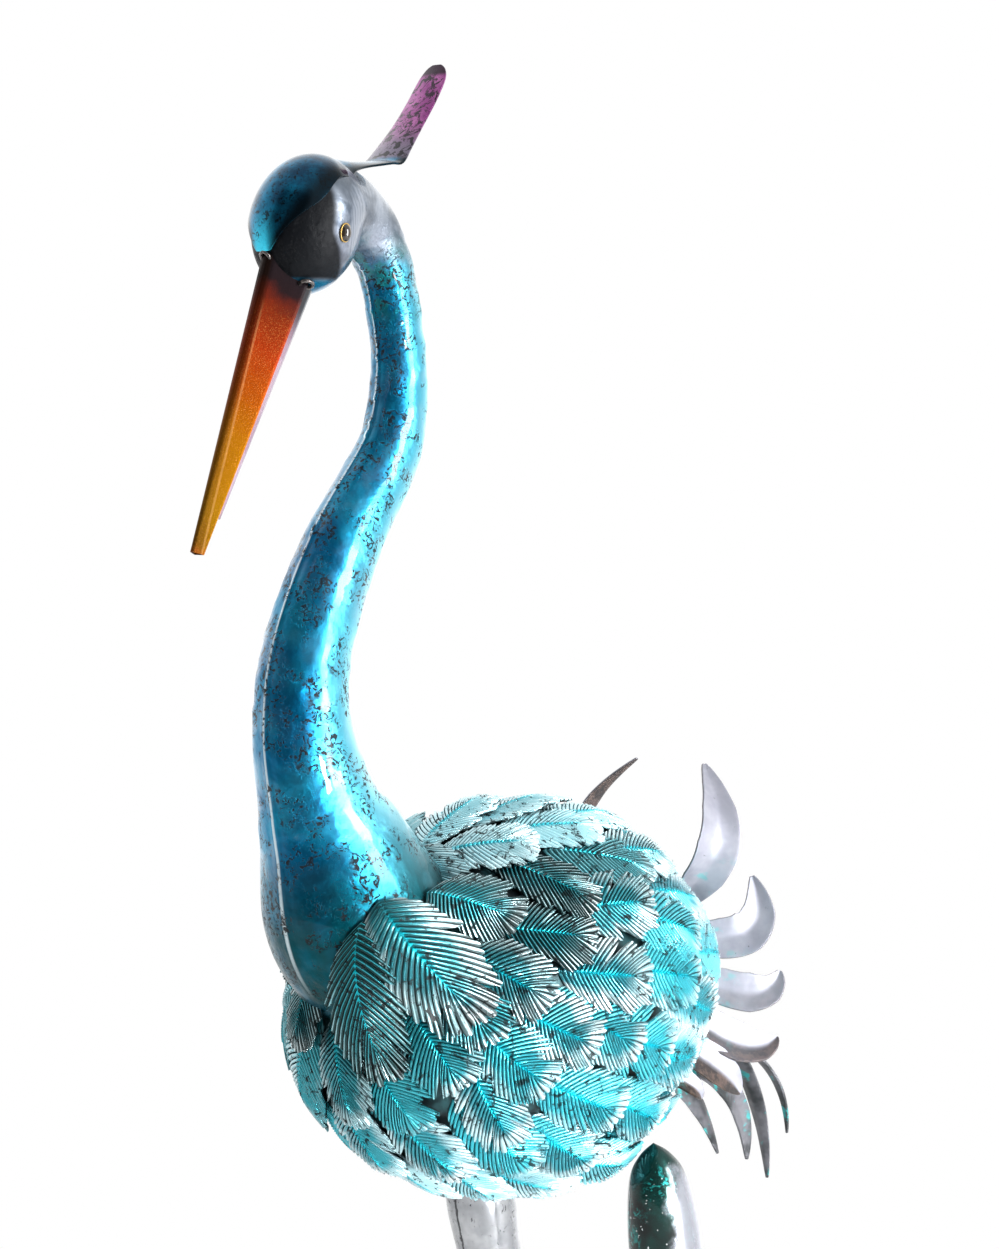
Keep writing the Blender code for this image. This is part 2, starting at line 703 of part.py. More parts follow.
def make_base(parts, material):
    bm = bmesh.new()
    bmesh.ops.create_cone(bm, segments=32, cap_ends=True, radius1=0.5, radius2=0.5, depth=1.0)
    size = Matrix.Diagonal((BASE_WIDTH, BASE_LENGTH, BASE_THICKNESS, 1.0))
    place = Matrix.Translation((0.0, 0.0, BASE_THICKNESS / 2))
    bmesh.ops.transform(bm, matrix=place @ size, verts=bm.verts)
    base = add_object("base_plate", finish_bmesh(bm, "base_plate"), parts, material)
    edge = base.modifiers.new("Edge", "BEVEL")
    edge.width = BASE_BEVEL
    edge.segments = 1
    edge.limit_method = "ANGLE"
    edge.angle_limit = radians(60)


def main():
    clear_scene()
    parts, cutters = make_collections()
    paint = {name: make_material(name) for name in PAINTS}

    make_base(parts, paint["base_black"])
    for label, side in (("left", 1), ("right", -1)):
        make_leg(label, side, parts, cutters, paint["leg_green"])
        make_eye("eye_" + label, side, parts, paint["eye_black"])
    make_head_and_neck(parts, cutters, paint["neck_blue"])
    make_beak(parts, cutters, paint["beak_orange"], paint["beak_pink"])
    make_crest(parts, paint["crown_blue"])

    holes = [make_tube("neck_hole", neck_stations(), cutters, extra=CLEARANCE)]
    for label, side in (("left", 1), ("right", -1)):
        holes.append(make_thigh("thigh_hole_" + label, side, cutters, extra=CLEARANCE))
    for name, (form, width) in tail_forms().items():
        make_blade(name, form, width, parts, paint["tail_silver"])
        holes.append(make_blade(name + "_slot", form, width, cutters, extra=CLEARANCE))
    for hole in holes:
        hide_cutter(hole)
    make_body(parts, cutters, paint["feather_teal"], holes)


main()
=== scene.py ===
from math import atan2, cos, pi, radians, sin, sqrt

import bpy
import numpy as np
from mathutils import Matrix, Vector


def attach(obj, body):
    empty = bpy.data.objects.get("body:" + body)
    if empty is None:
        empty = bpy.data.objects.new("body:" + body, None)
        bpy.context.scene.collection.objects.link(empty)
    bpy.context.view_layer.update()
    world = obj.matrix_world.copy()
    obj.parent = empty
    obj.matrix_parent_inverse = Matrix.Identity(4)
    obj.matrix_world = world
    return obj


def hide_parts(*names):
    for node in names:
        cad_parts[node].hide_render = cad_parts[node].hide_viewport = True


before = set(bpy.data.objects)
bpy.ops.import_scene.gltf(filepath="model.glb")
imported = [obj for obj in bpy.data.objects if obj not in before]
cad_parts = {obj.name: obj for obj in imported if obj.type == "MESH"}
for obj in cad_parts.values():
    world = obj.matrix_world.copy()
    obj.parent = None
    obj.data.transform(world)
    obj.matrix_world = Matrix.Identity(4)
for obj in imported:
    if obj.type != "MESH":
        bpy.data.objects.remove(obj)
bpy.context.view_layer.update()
print("frame loaded")

hands = (("left", 1), ("right", -1))  # the bird's left side is +X
sewReach = 0.00002  # points closer than this are joined


def turnTo(item, way, axis):
    item.rotation_mode = "QUATERNION"
    item.rotation_quaternion = way.to_track_quat(axis, "Y")


def clearSelection():
    for item in list(bpy.context.selected_objects):
        item.select_set(False)


def only(piece):  # pick this piece alone
    clearSelection()
    piece.select_set(True)
    bpy.context.view_layer.objects.active = piece


def newPiece(name):  # the primitive that was just added
    piece = bpy.context.active_object
    piece.name = name
    piece.data.name = name
    return piece


def newBall(name, segments, rings, **settings):
    clearSelection()
    bpy.ops.mesh.primitive_uv_sphere_add(segments=segments, ring_count=rings, **settings)
    return newPiece(name)


def pointsOf(piece):
    flat = np.empty(len(piece.data.vertices) * 3)
    piece.data.vertices.foreach_get("co", flat)
    return flat.reshape(-1, 3)


def setPoints(piece, points):
    piece.data.vertices.foreach_set("co", np.ascontiguousarray(points, dtype=np.float64).ravel())
    piece.data.update()


def setAttribute(piece, name, values):
    layer = piece.data.attributes.get(name) or piece.data.attributes.new(name, "FLOAT", "POINT")
    layer.data.foreach_set("value", np.ascontiguousarray(values, dtype=np.float32))


def shapedGrid(name, columns, rows, shape):  # a grid whose points go where shape(u, v) says
    clearSelection()
    bpy.ops.mesh.primitive_grid_add(x_subdivisions=columns, y_subdivisions=rows, size=1)
    piece = newPiece(name)
    flat = pointsOf(piece)
    u, v = flat[:, 0] + 0.5, flat[:, 1] + 0.5
    setPoints(piece, shape(u, v))
    return piece


def selectRim():  # the open edges of the mesh in edit mode
    bpy.ops.mesh.select_mode(type="EDGE")
    bpy.ops.mesh.select_all(action="DESELECT")
    bpy.ops.mesh.select_non_manifold(extend=False, use_wire=False, use_boundary=True,
                                     use_multi_face=False, use_non_contiguous=False, use_verts=False)


def openMesh(piece):  # edit mode with everything picked
    only(piece)
    bpy.ops.object.mode_set(mode="EDIT")
    bpy.ops.mesh.select_all(action="SELECT")


def facedOut(piece):  # turn all faces outwards
    openMesh(piece)
    bpy.ops.mesh.normals_make_consistent(inside=False)
    bpy.ops.object.mode_set(mode="OBJECT")


def sewn(piece):  # close seams and poles
    openMesh(piece)
    bpy.ops.mesh.remove_doubles(threshold=sewReach)
    selectRim()
    if piece.data.count_selected_items()[1]:
        bpy.ops.mesh.fill()
    bpy.ops.object.mode_set(mode="OBJECT")
    facedOut(piece)
    return piece


def applied(piece, kind, **settings):
    only(piece)
    modifier = piece.modifiers.new(kind.title(), kind)
    for key, value in settings.items():
        setattr(modifier, key, value)
    bpy.ops.object.modifier_apply(modifier=modifier.name)


def bevelled(piece, width, angle):  # rounds the edges that turn by more than the angle
    applied(piece, "BEVEL", width=width, segments=2, limit_method="ANGLE", angle_limit=radians(angle))


def painted(piece, paint):
    piece.data.materials.clear()
    piece.data.materials.append(paint)


def settle(piece, smooth, paint, slot, *nodes):  # shading, paint, ride and the nodes it stands for
    only(piece)
    bpy.ops.object.transform_apply()
    bpy.ops.object.shade_smooth_by_angle(angle=radians(smooth))
    painted(piece, paint)
    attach(piece, "root")
    if nodes:
        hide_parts(*nodes)


def step(edge0, edge1, x):  # smooth step for arrays
    t = np.clip((x - edge0) / (edge1 - edge0), 0, 1)
    return t * t * (3 - 2 * t)


def unit(rows):
    return rows / np.linalg.norm(rows, axis=-1, keepdims=True)


view = {
    "place": (1.37838, -1.37838, 0.84716),
    "target": (0.0, 0.0, 0.745),
    "lens": 100,
    "sensor": 36,
}

bpy.ops.object.camera_add(location=view["place"])
camera = bpy.context.active_object
camera.name = "camera"
camera.data.lens = view["lens"]
camera.data.sensor_width = view["sensor"]
camera.data.clip_start = 0.05
turnTo(camera, Vector(view["target"]) - Vector(view["place"]), "-Z")
bpy.context.scene.camera = camera
bpy.context.scene.view_settings.view_transform = "Standard"
cameraAngle = atan2(view["place"][1], view["place"][0])


def maths(operation, swapped=False):  # a method that adds one maths node
    def method(self, *others):
        values = (self, *others)
        return self.tree.node("ShaderNodeMath", {"operation": operation}, values[::-1] if swapped else values)

    return method


class Wire:  # a shader socket that takes part in sums
    __add__ = maths("ADD")
    __radd__ = maths("ADD", True)
    __sub__ = maths("SUBTRACT")
    __rsub__ = maths("SUBTRACT", True)
    __mul__ = maths("MULTIPLY")
    __rmul__ = maths("MULTIPLY", True)
    __truediv__ = maths("DIVIDE")
    atMost = maths("MINIMUM")
    atLeast = maths("MAXIMUM")
    size = maths("ABSOLUTE")
    root = maths("SQRT")
    wave = maths("SINE")

    def __init__(self, tree, socket):
        self.tree = tree
        self.socket = socket

    def between(self, low, high):  # 0 below low, 1 above high, smooth between
        return self.tree.node("ShaderNodeMapRange", {"interpolation_type": "SMOOTHSTEP"},
                              {"Value": self, "From Min": low, "From Max": high})


class Tree:  # a node tree that is filled by one method
    def __init__(self, tree):
        self.nodes = tree.nodes
        self.links = tree.links

    def node(self, kind, settings=None, inputs=None, output=0):
        made = self.nodes.new(kind)
        for key, value in (settings or {}).items():
            if key == "stops":
                ramp = made.color_ramp
                while len(ramp.elements) < len(value):
                    ramp.elements.new(1.0)
                for element, (place, colour) in zip(ramp.elements, value):
                    element.position = place
                    element.color = (*colour, 1.0)
            else:
                setattr(made, key, value)
        pairs = inputs.items() if isinstance(inputs, dict) else enumerate(inputs or [])
        for key, value in pairs:
            socket = made.inputs[key]
            if isinstance(value, Wire):
                self.links.new(value.socket, socket)
            else:
                socket.default_value = value
        return Wire(self, made.outputs[output])

    def mix(self, share, first, second):
        colours = [value if isinstance(value, Wire) else (*value, 1.0) for value in (first, second)]
        return self.node("ShaderNodeMix", {"data_type": "RGBA"}, {0: share, 6: colours[0], 7: colours[1]}, 2)

    def place(self):  # object coordinates
        return self.node("ShaderNodeTexCoord", output=3)

    def parts(self, vector):
        split = self.node("ShaderNodeSeparateXYZ", None, [vector])
        return [Wire(self, socket) for socket in split.socket.node.outputs]

    def attributes(self, *names):
        return [self.node("ShaderNodeAttribute", {"attribute_name": name}, None, 2) for name in names]

    def noise(self, scale, detail, roughness=0.5, distortion=0.0):
        return self.node("ShaderNodeTexNoise", None,
                         {"Vector": self.place(), "Scale": scale, "Detail": detail,
                          "Roughness": roughness, "Distortion": distortion})

    def bump(self, height, strength, distance):
        return self.node("ShaderNodeBump", None,
                         {"Height": height, "Strength": strength, "Distance": distance})


class Paint(Tree):  # a material with one Principled shader and a colour that grows layer by layer
    def __init__(self, name):
        self.material = bpy.data.materials.new(name)
        self.material.use_nodes = True
        super().__init__(self.material.node_tree)

    def start(self, *mixture):
        self.colour = self.mix(*mixture)

    def over(self, share, colour):
        self.colour = self.mix(share, self.colour, colour)

    def finish(self, **sockets):
        names = {"colour": "Base Color", "rough": "Roughness", "metal": "Metallic", "coat": "Coat Weight",
                 "coatRough": "Coat Roughness", "normal": "Normal", "specular": "Specular IOR Level"}
        for key, value in {"colour": self.colour, **sockets}.items():
            socket = self.nodes["Principled BSDF"].inputs[names[key]]
            if isinstance(value, Wire):
                self.links.new(value.socket, socket)
            else:
                socket.default_value = value
        return self.material


def speckled(name, grain, first, second, **sockets):  # two colours mixed by one noise
    paint = Paint(name)
    paint.start(paint.noise(*grain), first, second)
    return paint.finish(**sockets)


room = {
    "darkSide": radians(32),  # middle of the dark studio wall, left of the camera
    "darkHalf": radians(42),
    "darkEdge": radians(14),  # half width of its soft sides
    "darkTop": (0.72, 0.96),  # where it fades out above and below
    "darkFoot": (-0.98, -0.75),
    "darkLevel": 0.18,
    "brightLevel": 0.95,
    "behindLevel": 1.5,  # of the wall behind the statue and of all below it
}

lights = {
    "keyLight": {"angle": radians(54), "height": 0.95, "distance": 1.9, "wide": 0.60, "tall": 2.0,
                 "power": 58, "aim": 0.75, "spread": radians(180)},
    "fillLight": {"angle": radians(36), "height": 0.30, "distance": 1.9, "wide": 0.5, "tall": 0.5,
                  "power": 1.5, "aim": 0.47, "spread": radians(22)},
}


def makeRoom():
    world = bpy.data.worlds.new("studio")
    bpy.context.scene.world = world
    world.use_nodes = True
    tree = Tree(world.node_tree)
    shader = tree.nodes["Background"]
    x, y, z = tree.parts(tree.node("ShaderNodeTexCoord"))
    dark = cameraAngle - room["darkSide"]
    level = (x * x + y * y).root().atLeast(0.0001)
    facing = (x * cos(dark) + y * sin(dark)) / level
    wall = facing.between(cos(room["darkHalf"] + room["darkEdge"]), cos(room["darkHalf"] - room["darkEdge"]))
    wall = wall * (1 - z.between(*room["darkTop"])) * z.between(*room["darkFoot"])
    behind = (0 - (x * cos(cameraAngle) + y * sin(cameraAngle))).between(0.1, 0.8)
    behind = behind.atLeast(1 - z.between(-0.7, -0.2))
    shade = room["brightLevel"] + behind * (room["behindLevel"] - room["brightLevel"])
    shade = shade - wall * (shade - room["darkLevel"])
    seen = tree.node("ShaderNodeLightPath")
    strength = seen + (1 - seen) * shade
    tree.links.new(strength.socket, shader.inputs["Strength"])
    shader.inputs["Color"].default_value = (1.0, 1.0, 1.0, 1.0)


def softLight(name, form):
    direction = cameraAngle + form["angle"]
    spot = Vector((cos(direction) * form["distance"], sin(direction) * form["distance"], form["height"]))
    clearSelection()
    bpy.ops.object.light_add(type="AREA", location=spot)
    light = bpy.context.active_object
    light.name = name
    light.data.shape = "RECTANGLE"
    light.data.size = form["wide"]
    light.data.size_y = form["tall"]
    light.data.energy = form["power"]
    light.data.spread = form["spread"]
    turnTo(light, Vector((0, 0, form["aim"])) - spot, "-Z")
    light.visible_camera = False


def makeFloor():
    clearSelection()
    bpy.ops.mesh.primitive_cylinder_add(vertices=96, radius=1.5, depth=0.01, location=(0, 0, -0.005))
    floor = newPiece("floor")
    only(floor)
    bpy.ops.object.transform_apply()
    painted(floor, speckled("floorPaint", (6, 2), (0.80, 0.80, 0.80), (0.84, 0.84, 0.84), rough=0.6))


makeRoom()
makeFloor()
for name, form in lights.items():
    softLight(name, form)
print("camera and lights placed")


egg = {  # the body under the feathers
    "middle": np.array((0.0, 0.0141, 0.5337)),
    "side": 0.1050,
    "front": 0.1452,
    "back": 0.1150,
    "up": 0.1085,
    "tuck": 0.11,  # how far the rump is drawn in below the tail
}

neck = {
    "height": 0.4311,
    "radius": 0.0150,
    "line": ((0.225, 0.060, 3.20), (0.286, 0.137, 3.42), (0.329, 0.228, 2.72), (0.354, 0.284, 2.17),
             (0.378, 0.378, 1.79), (0.369, 0.471, 1.60), (0.314, 0.594, 1.43), (0.231, 0.718, 1.19),
             (0.213, 0.813, 1.04), (0.222, 0.890, 1.00), (0.246, 0.966, 1.06), (0.300, 1.012, 1.36),
             (0.360, 1.004, 1.60)),
    "columns": 72,
    "rows": 240,
}

head = {
    "middle": egg["middle"] + np.array((0.0, -0.368, 0.9923)) * neck["height"],
    "length": 0.074,
    "width": 0.058,
    "tilt": radians(72.4),
}
side = np.array((1.0, 0.0, 0.0))
beakWay = np.array((0.0, -cos(head["tilt"]), -sin(head["tilt"])))
browWay = np.array((0.0, -sin(head["tilt"]), cos(head["tilt"])))


def curveThrough(keys, t):  # Catmull-Rom through the keys, t from 0 to 1
    keys = np.array(keys, float)
    position = np.clip(t, 0, 1) * (len(keys) - 1)
    index = np.minimum(position.astype(int), len(keys) - 2)
    part = (position - index)[:, None]
    before, first = keys[np.maximum(index - 1, 0)], keys[index]
    second, after = keys[index + 1], keys[np.minimum(index + 2, len(keys) - 1)]
    return first + 0.5 * part * (second - before + part * (
        2 * before - 5 * first + 4 * second - after + part * (3 * (first - second) + after - before)))


def neckAt(t):
    values = curveThrough(neck["line"], t)
    centre = np.stack([np.zeros(len(t)), -values[:, 0] * neck["height"], values[:, 1] * neck["height"]], 1)
    return centre + egg["middle"], values[:, 2] * neck["radius"]


neckSteps = 400
neckShares = np.linspace(0, 1, neckSteps)
neckCentres, neckRadii = neckAt(neckShares)
neckWays = unit(np.gradient(neckCentres, axis=0))
neckFronts = np.cross(side, neckWays)  # towards the front seam


def nearNeck(points):  # share along, angle from the front seam, distance over radius
    gaps = ((points[:, None, :] - neckCentres[None, :, :]) ** 2).sum(2)
    nearest = gaps.argmin(1)
    away = points - neckCentres[nearest]
    x = away[:, 0]
    y = (away * neckFronts[nearest]).sum(1)
    distance = np.sqrt(gaps[np.arange(len(points)), nearest])
    return neckShares[nearest], np.arctan2(x, y), distance / neckRadii[nearest]


def eggLevel(points):
    away = points - egg["middle"]
    along = np.where(away[:, 1] < 0, egg["front"], egg["back"])
    level = np.sqrt((away[:, 0] / egg["side"]) ** 2 + (away[:, 1] / along) ** 2
                    + (away[:, 2] / egg["up"]) ** 2)
    size = np.linalg.norm(away, axis=1) + 1e-9
    rump = step(0.05, 0.75, away[:, 1] / size) * step(-0.15, 0.55, -away[:, 2] / size)
    return level * (1 + egg["tuck"] * rump)


def eggNormal(points):
    away = points - egg["middle"]
    along = np.where(away[:, 1] < 0, egg["front"], egg["back"])
    slopes = [away[:, 0] / egg["side"] ** 2, away[:, 1] / along ** 2, away[:, 2] / egg["up"] ** 2]
    return unit(np.stack(slopes, 1))


def onEgg(points, lift=0.0):
    surface = egg["middle"] + (points - egg["middle"]) / eggLevel(points)[:, None]
    return surface + eggNormal(surface) * np.reshape(lift, (-1, 1))


def headLevel(points):
    away = points - head["middle"]
    along = away @ beakWay / (head["length"] / 2)
    around = np.sqrt(away[:, 0] ** 2 + (away @ browWay) ** 2) / (head["width"] / 2)
    return np.sqrt(along ** 2 + around ** 2)


def onHead(way):  # where a way from the head's middle meets its surface
    return head["middle"] + way / headLevel((head["middle"] + way)[None])[0]


neckLook = {
    "deep": (0.0, 0.13, 0.28),
    "blue": (0.008, 0.26, 0.43),
    # painted highlight: lighter cyan for the flanks where the key light's highlight falls
    "highlightCyan": (0.09, 0.46, 0.60),
    # painted reflection: pale colour of the band near the neck's edges
    "rim": (0.34, 0.78, 0.88),
    "teal": (0.0, 0.055, 0.065),
    "moss": (0.01, 0.20, 0.20),
    "soot": (0.003, 0.004, 0.006),
    "silver": (0.31, 0.33, 0.39),
    "shade": (0.09, 0.095, 0.125),
    "seam": (0.78, 0.92, 0.97),
    "chin": 0.9305,  # height of the lower edge of cheek and mask
    "nape": 0.943,  # height above which the nape is grey too
    "cheek": 0.1490,  # front and back edge of the grey cheek, ahead of the middle
    "cheekBack": 0.1285,
    "mask": 0.1495,  # back edge of the black mask, which leans below its top
    "maskTop": 0.957,
    "mossFoot": 0.905,  # green patch at the back of the neck's upper bend
    "mossTop": 0.935,
    "mossFront": 0.130,
    "dent": 0.0006,
    "dents": 760,
    "blend": 0.016,  # how far the ball and the neck flow together
    "ridge": 0.0009,  # height of the seam, and of the weld beads on it
    "bead": 0.0014,
    "beads": (0.50, 0.585, 0.60, 0.635, 0.69, 0.76, 0.83),
}


def neckPaint():
    paint = Paint("neckBlue")
    look = neckLook
    along, around = paint.attributes("along", "around")
    clouds = paint.noise(26, 4, 0.6)
    paint.start(clouds.between(0.35, 0.66), look["deep"], look["blue"])
    turn = around.size()
    # painted highlight: from the middle of each side to past the key light's highlight, the neck is painted
    # lighter cyan
    highlightFlank = turn.between(0.26, 0.56)
    paint.over((highlightFlank * (0.45 + clouds * 0.9)).atMost(1.0), look["highlightCyan"])
    # painted reflection: a pale band towards the neck's edges, where the bright backdrop would be reflected
    rim = turn.between(0.52, 0.74) * (1 - turn.between(0.80, 0.95))
    paint.over(rim * (0.3 + clouds * 0.9), look["rim"])
    foot = 1 - along.between(0.08, 0.24)
    paint.over(foot * (0.6 + paint.noise(40, 3).between(0.3, 0.6) * 0.4), look["teal"])
    seam = (1 - turn.between(0.004, 0.013)) * along.between(0.05, 0.12) * (0.4 + clouds)
    paint.over(seam * 0.9, look["seam"])
    ripple = paint.noise(38, 2, 0.5, distortion=1.0)
    drift = (ripple - 0.5) * 0.014
    _, y, z = paint.parts(paint.place())
    overChin = (z - look["chin"]).between(0.0, 0.004)
    fall = (z + drift - look["nape"]).between(-0.012, 0.014)
    cheek = (y + look["cheek"]).between(-0.014, -0.005) * overChin
    cheek = cheek * (1 - (y + look["cheekBack"]).between(0.0, 0.006) * (1 - fall))
    pale = paint.mix(ripple.between(0.40, 0.62), look["shade"], look["silver"])
    # painted shade: darker stripes across the nape stand in for the shading of its folds
    foldShadeStripes = (along * 900 + ripple * 9).wave().between(0.0, 0.9)
    pale = paint.mix(foldShadeStripes * along.between(0.90, 0.93) * 0.5, pale, look["shade"])
    paint.over(cheek * 0.94, pale)
    bend = (z - look["mossFoot"]).between(0.0, 0.02) * (1 - (z - look["mossTop"]).between(0.0, 0.03))
    bend = bend * (y + look["mossFront"]).between(0.0, 0.01)
    paint.over(bend * paint.noise(75, 3, 0.6).between(0.48, 0.60) * 0.8, look["moss"])
    grains = paint.noise(420, 2, 0.7)
    flecks = paint.noise(230, 4, 0.65, distortion=1.8)
    where = paint.noise(55, 3, 0.6)
    plain = 1 - cheek * 0.85
    specks = flecks.between(0.525, 0.555) * where.between(0.46, 0.54) * plain
    specks = specks.atLeast(bend * flecks.between(0.55, 0.57))
    paint.over(specks * 0.97, look["soot"])
    lean = (look["maskTop"] - z).atLeast(0.0) * 0.55
    mask = (1 - (y + look["mask"] - lean + drift * 0.12).between(-0.003, 0.003)) * overChin
    paint.over(mask, look["soot"])
    patches = 0.25 + paint.noise(58, 2).between(0.42, 0.56) * 0.75
    height = grains * 0.15 + paint.noise(95, 2) * 1.3 - specks * 0.4
    return paint.finish(metal=0.94 - specks * 0.8 - mask * 0.8 - seam * 0.6,
                        rough=0.32 + grains * 0.12 + specks * 0.2 + mask * 0.13,
                        coat=(0.9 - mask * 0.9) * (1 - foot * 0.8) * patches, coatRough=0.04,
                        specular=0.18, normal=paint.bump(height, 0.6, 0.0014))


def makeNeck():
    def tube(u, v):
        centre, radius = neckAt(v)
        nearest = np.clip((v * (neckSteps - 1)).round().astype(int), 0, neckSteps - 1)
        angle = 2 * pi * u - pi
        beads = sum(np.exp(-((v - spot) / 0.0035) ** 2) for spot in neckLook["beads"])
        tall = neckLook["ridge"] + neckLook["bead"] * beads
        size = radius + np.exp(-(angle / 0.045) ** 2) * tall * step(0.02, 0.1, v)
        return (centre + side * (np.sin(angle) * size)[:, None]
                + neckFronts[nearest] * (np.cos(angle) * size)[:, None])

    shell = sewn(shapedGrid("neckShell", neck["columns"], neck["rows"], tube))
    ball = newBall("headBall", 96, 64)
    raw = pointsOf(ball)
    setPoints(ball, head["middle"] + side * raw[:, :1] * head["width"] / 2
              + browWay * raw[:, 1:2] * head["width"] / 2 + beakWay * raw[:, 2:] * head["length"] / 2)
    facedOut(ball)
    applied(shell, "BOOLEAN", operation="UNION", object=ball, solver="EXACT")
    bpy.data.objects.remove(ball)
    points = pointsOf(shell)
    along, around, _ = nearNeck(points)
    rng = np.random.default_rng(3)
    dents = np.zeros(len(points))
    for _ in range(neckLook["dents"]):  # shallow hammer dents
        spot = rng.uniform(0.04, 0.90)
        turn = rng.uniform(-pi, pi)
        reach = rng.uniform(0.0045, 0.0085)
        centre, radius = neckAt(np.array([spot]))
        index = int(spot * (neckSteps - 1))
        place = centre[0] + (side * sin(turn) + neckFronts[index] * cos(turn)) * radius[0]
        dents += np.exp(-((points - place) ** 2).sum(1) / (reach * 0.6) ** 2) * rng.uniform(-1, 1)
    shell.data.update()
    normals = np.empty(len(points) * 3)
    shell.data.vertices.foreach_get("normal", normals)
    quiet = step(0.15, 0.5, np.abs(around)) * (1 - 0.6 * step(0.80, 0.88, along))
    neckGap = (nearNeck(points)[2] - 1) * neckAt(along)[1]
    gap = np.abs((headLevel(points) - 1) * head["width"] / 2 - neckGap)
    swell = np.maximum(neckLook["blend"] - gap, 0) ** 2 / neckLook["blend"] / 4
    swell *= step(-0.004, 0.012, points[:, 2] - head["middle"][2])
    lift = dents * quiet * neckLook["dent"] + swell
    setPoints(shell, points + normals.reshape(-1, 3) * lift[:, None])
    setAttribute(shell, "along", along)
    setAttribute(shell, "around", around / pi)
    settle(shell, 50, neckPaint(), "neck_paint", "head_and_neck")


makeNeck()
print("neck and head made")


eye = {
    "wide": 0.0095,
    "bulge": 0.0034,
    "squash": 0.75,
    "ring": 0.0005,
    "ringSquash": 0.78,
    "ringLift": 0.0004,
}


def ringAt(name, spot, outwards, segments, reach, thick):  # a torus that faces outwards
    clearSelection()
    bpy.ops.mesh.primitive_torus_add(major_segments=segments, minor_segments=10, major_radius=reach,
                                     minor_radius=thick, location=spot)
    ring = newPiece(name)
    turnTo(ring, Vector(outwards), "Z")
    only(ring)
    return ring


def makeEyes():
    dark = speckled("eyeGloss", (300, 2), (0.006, 0.005, 0.004), (0.03, 0.016, 0.006), rough=0.06, coat=1.0,
                    coatRough=0.03)
    gold = speckled("eyeRing", (500, 2), (0.50, 0.28, 0.05), (0.66, 0.46, 0.18), metal=0.9, rough=0.3)
    for label, way in hands:
        place = onHead(np.array((way, 0.04, -0.15)))
        ball = newBall("eye_ball_" + label, 40, 20, radius=eye["wide"] / 2, location=place,
                       rotation=(0, radians(90), 0))
        only(ball)
        bpy.ops.transform.resize(value=(eye["bulge"] / eye["wide"] * 2, eye["squash"], 1.0),
                                 center_override=Vector(place))
        settle(ball, 60, dark, "eye_gloss", "eye_" + label)
        outwards = Vector((way, 0.12, -0.10))
        ring = ringAt("eye_ring_" + label, Vector(place) + outwards * eye["ringLift"], outwards, 48,
                      eye["wide"] / 2, eye["ring"])
        bpy.ops.transform.resize(value=(1.0, eye["ringSquash"], 1.0), center_override=Vector(place))
        settle(ring, 60, gold, "eye_gloss")


weld = {  # name, way from the head's middle, ring radius, bead radius
    "nostril": ((0.0, -0.0280, -0.0165), 0.0030, 0.0010),
    "jaw_left": ((0.0125, -0.0115, -0.0285), 0.0034, 0.0011),
    "jaw_right": ((-0.0125, -0.0115, -0.0285), 0.0034, 0.0011),
}


def weldPaint():
    paint = Paint("weldSoot")
    grain = paint.noise(600, 3, 0.7)
    paint.start(grain.between(0.35, 0.65), (0.02, 0.02, 0.022), (0.20, 0.17, 0.16))
    return paint.finish(metal=0.7, rough=0.22, coat=0.6, coatRough=0.05,
                        normal=paint.bump(grain, 0.4, 0.0004))


def makeWelds():
    soot = weldPaint()
    for label, (way, reach, thick) in weld.items():
        way = np.array(way)
        bead = ringAt("weld_" + label, onHead(way) + unit(way) * thick, way, 36, reach, thick)
        settle(bead, 60, soot, "neck_paint")


makeEyes()
makeWelds()
print("eyes and welds made")


beak = {
    "length": 0.187,
    "wide": 0.031,
    "deep": 0.032,
    "tip": 0.25,
    "start": 0.0125,
    "ridge": 0.0232,
    "upperOutline": ((0.0, 0.0), (0.16, 0.012), (0.30, 0.07), (0.53, 0.30), (0.76, 0.53), (0.98, 0.76)),
    "lowerOutline": ((0.82, 0.80), (0.80, 0.92), (0.62, 1.03), (0.30, 1.10), (0.0, 1.12)),
}


def beakPaint():
    paint = Paint("beakCopper")
    run, rise = paint.attributes("run", "rise")
    grit = paint.noise(1700, 2, 0.8)
    blotch = paint.noise(90, 4, 0.7)
    paint.colour = paint.node("ShaderNodeValToRGB", {"stops": [
        (0.0, (0.006, 0.006, 0.008)), (0.13, (0.010, 0.005, 0.006)), (0.21, (0.10, 0.010, 0.002)),
        (0.34, (0.19, 0.016, 0.001)), (0.48, (0.20, 0.036, 0.0)), (0.62, (0.20, 0.070, 0.0)),
        (0.86, (0.17, 0.078, 0.0)), (0.97, (0.13, 0.055, 0.0)), (1.0, (0.22, 0.06, 0.005))]},
        [run - rise * 0.07 + (blotch - 0.5) * 0.08])
    lit = run.between(0.18, 0.30)
    paint.over(grit.between(0.54, 0.70) * lit * 0.35, (0.60, 0.24, 0.06))
    paint.over((1 - grit.between(0.30, 0.42)) * lit * 0.6, (0.10, 0.02, 0.004))
    crest = 1 - rise.between(0.035, 0.085)  # the folded ridge is darker, with a painted highlight along its rim
    paint.over(crest * 0.30, (0.03, 0.012, 0.004))
    # painted highlight: a bright line where the ridge meets the beak's side
    rim = rise.between(0.055, 0.075) * (1 - rise.between(0.085, 0.105)) * lit
    paint.over(rim * 0.15, (0.60, 0.36, 0.14))
    edge = rise.between(0.70, 0.735) * (1 - run.between(0.98, 1.0)) * run.between(0.45, 0.55)
    paint.over(edge * 0.85, (0.012, 0.006, 0.002))
    return paint.finish(metal=0.75, rough=0.34 + grit * 0.2, coat=0.05, coatRough=0.1,
                        specular=0.05, normal=paint.bump(grit, 0.25, 0.0004))


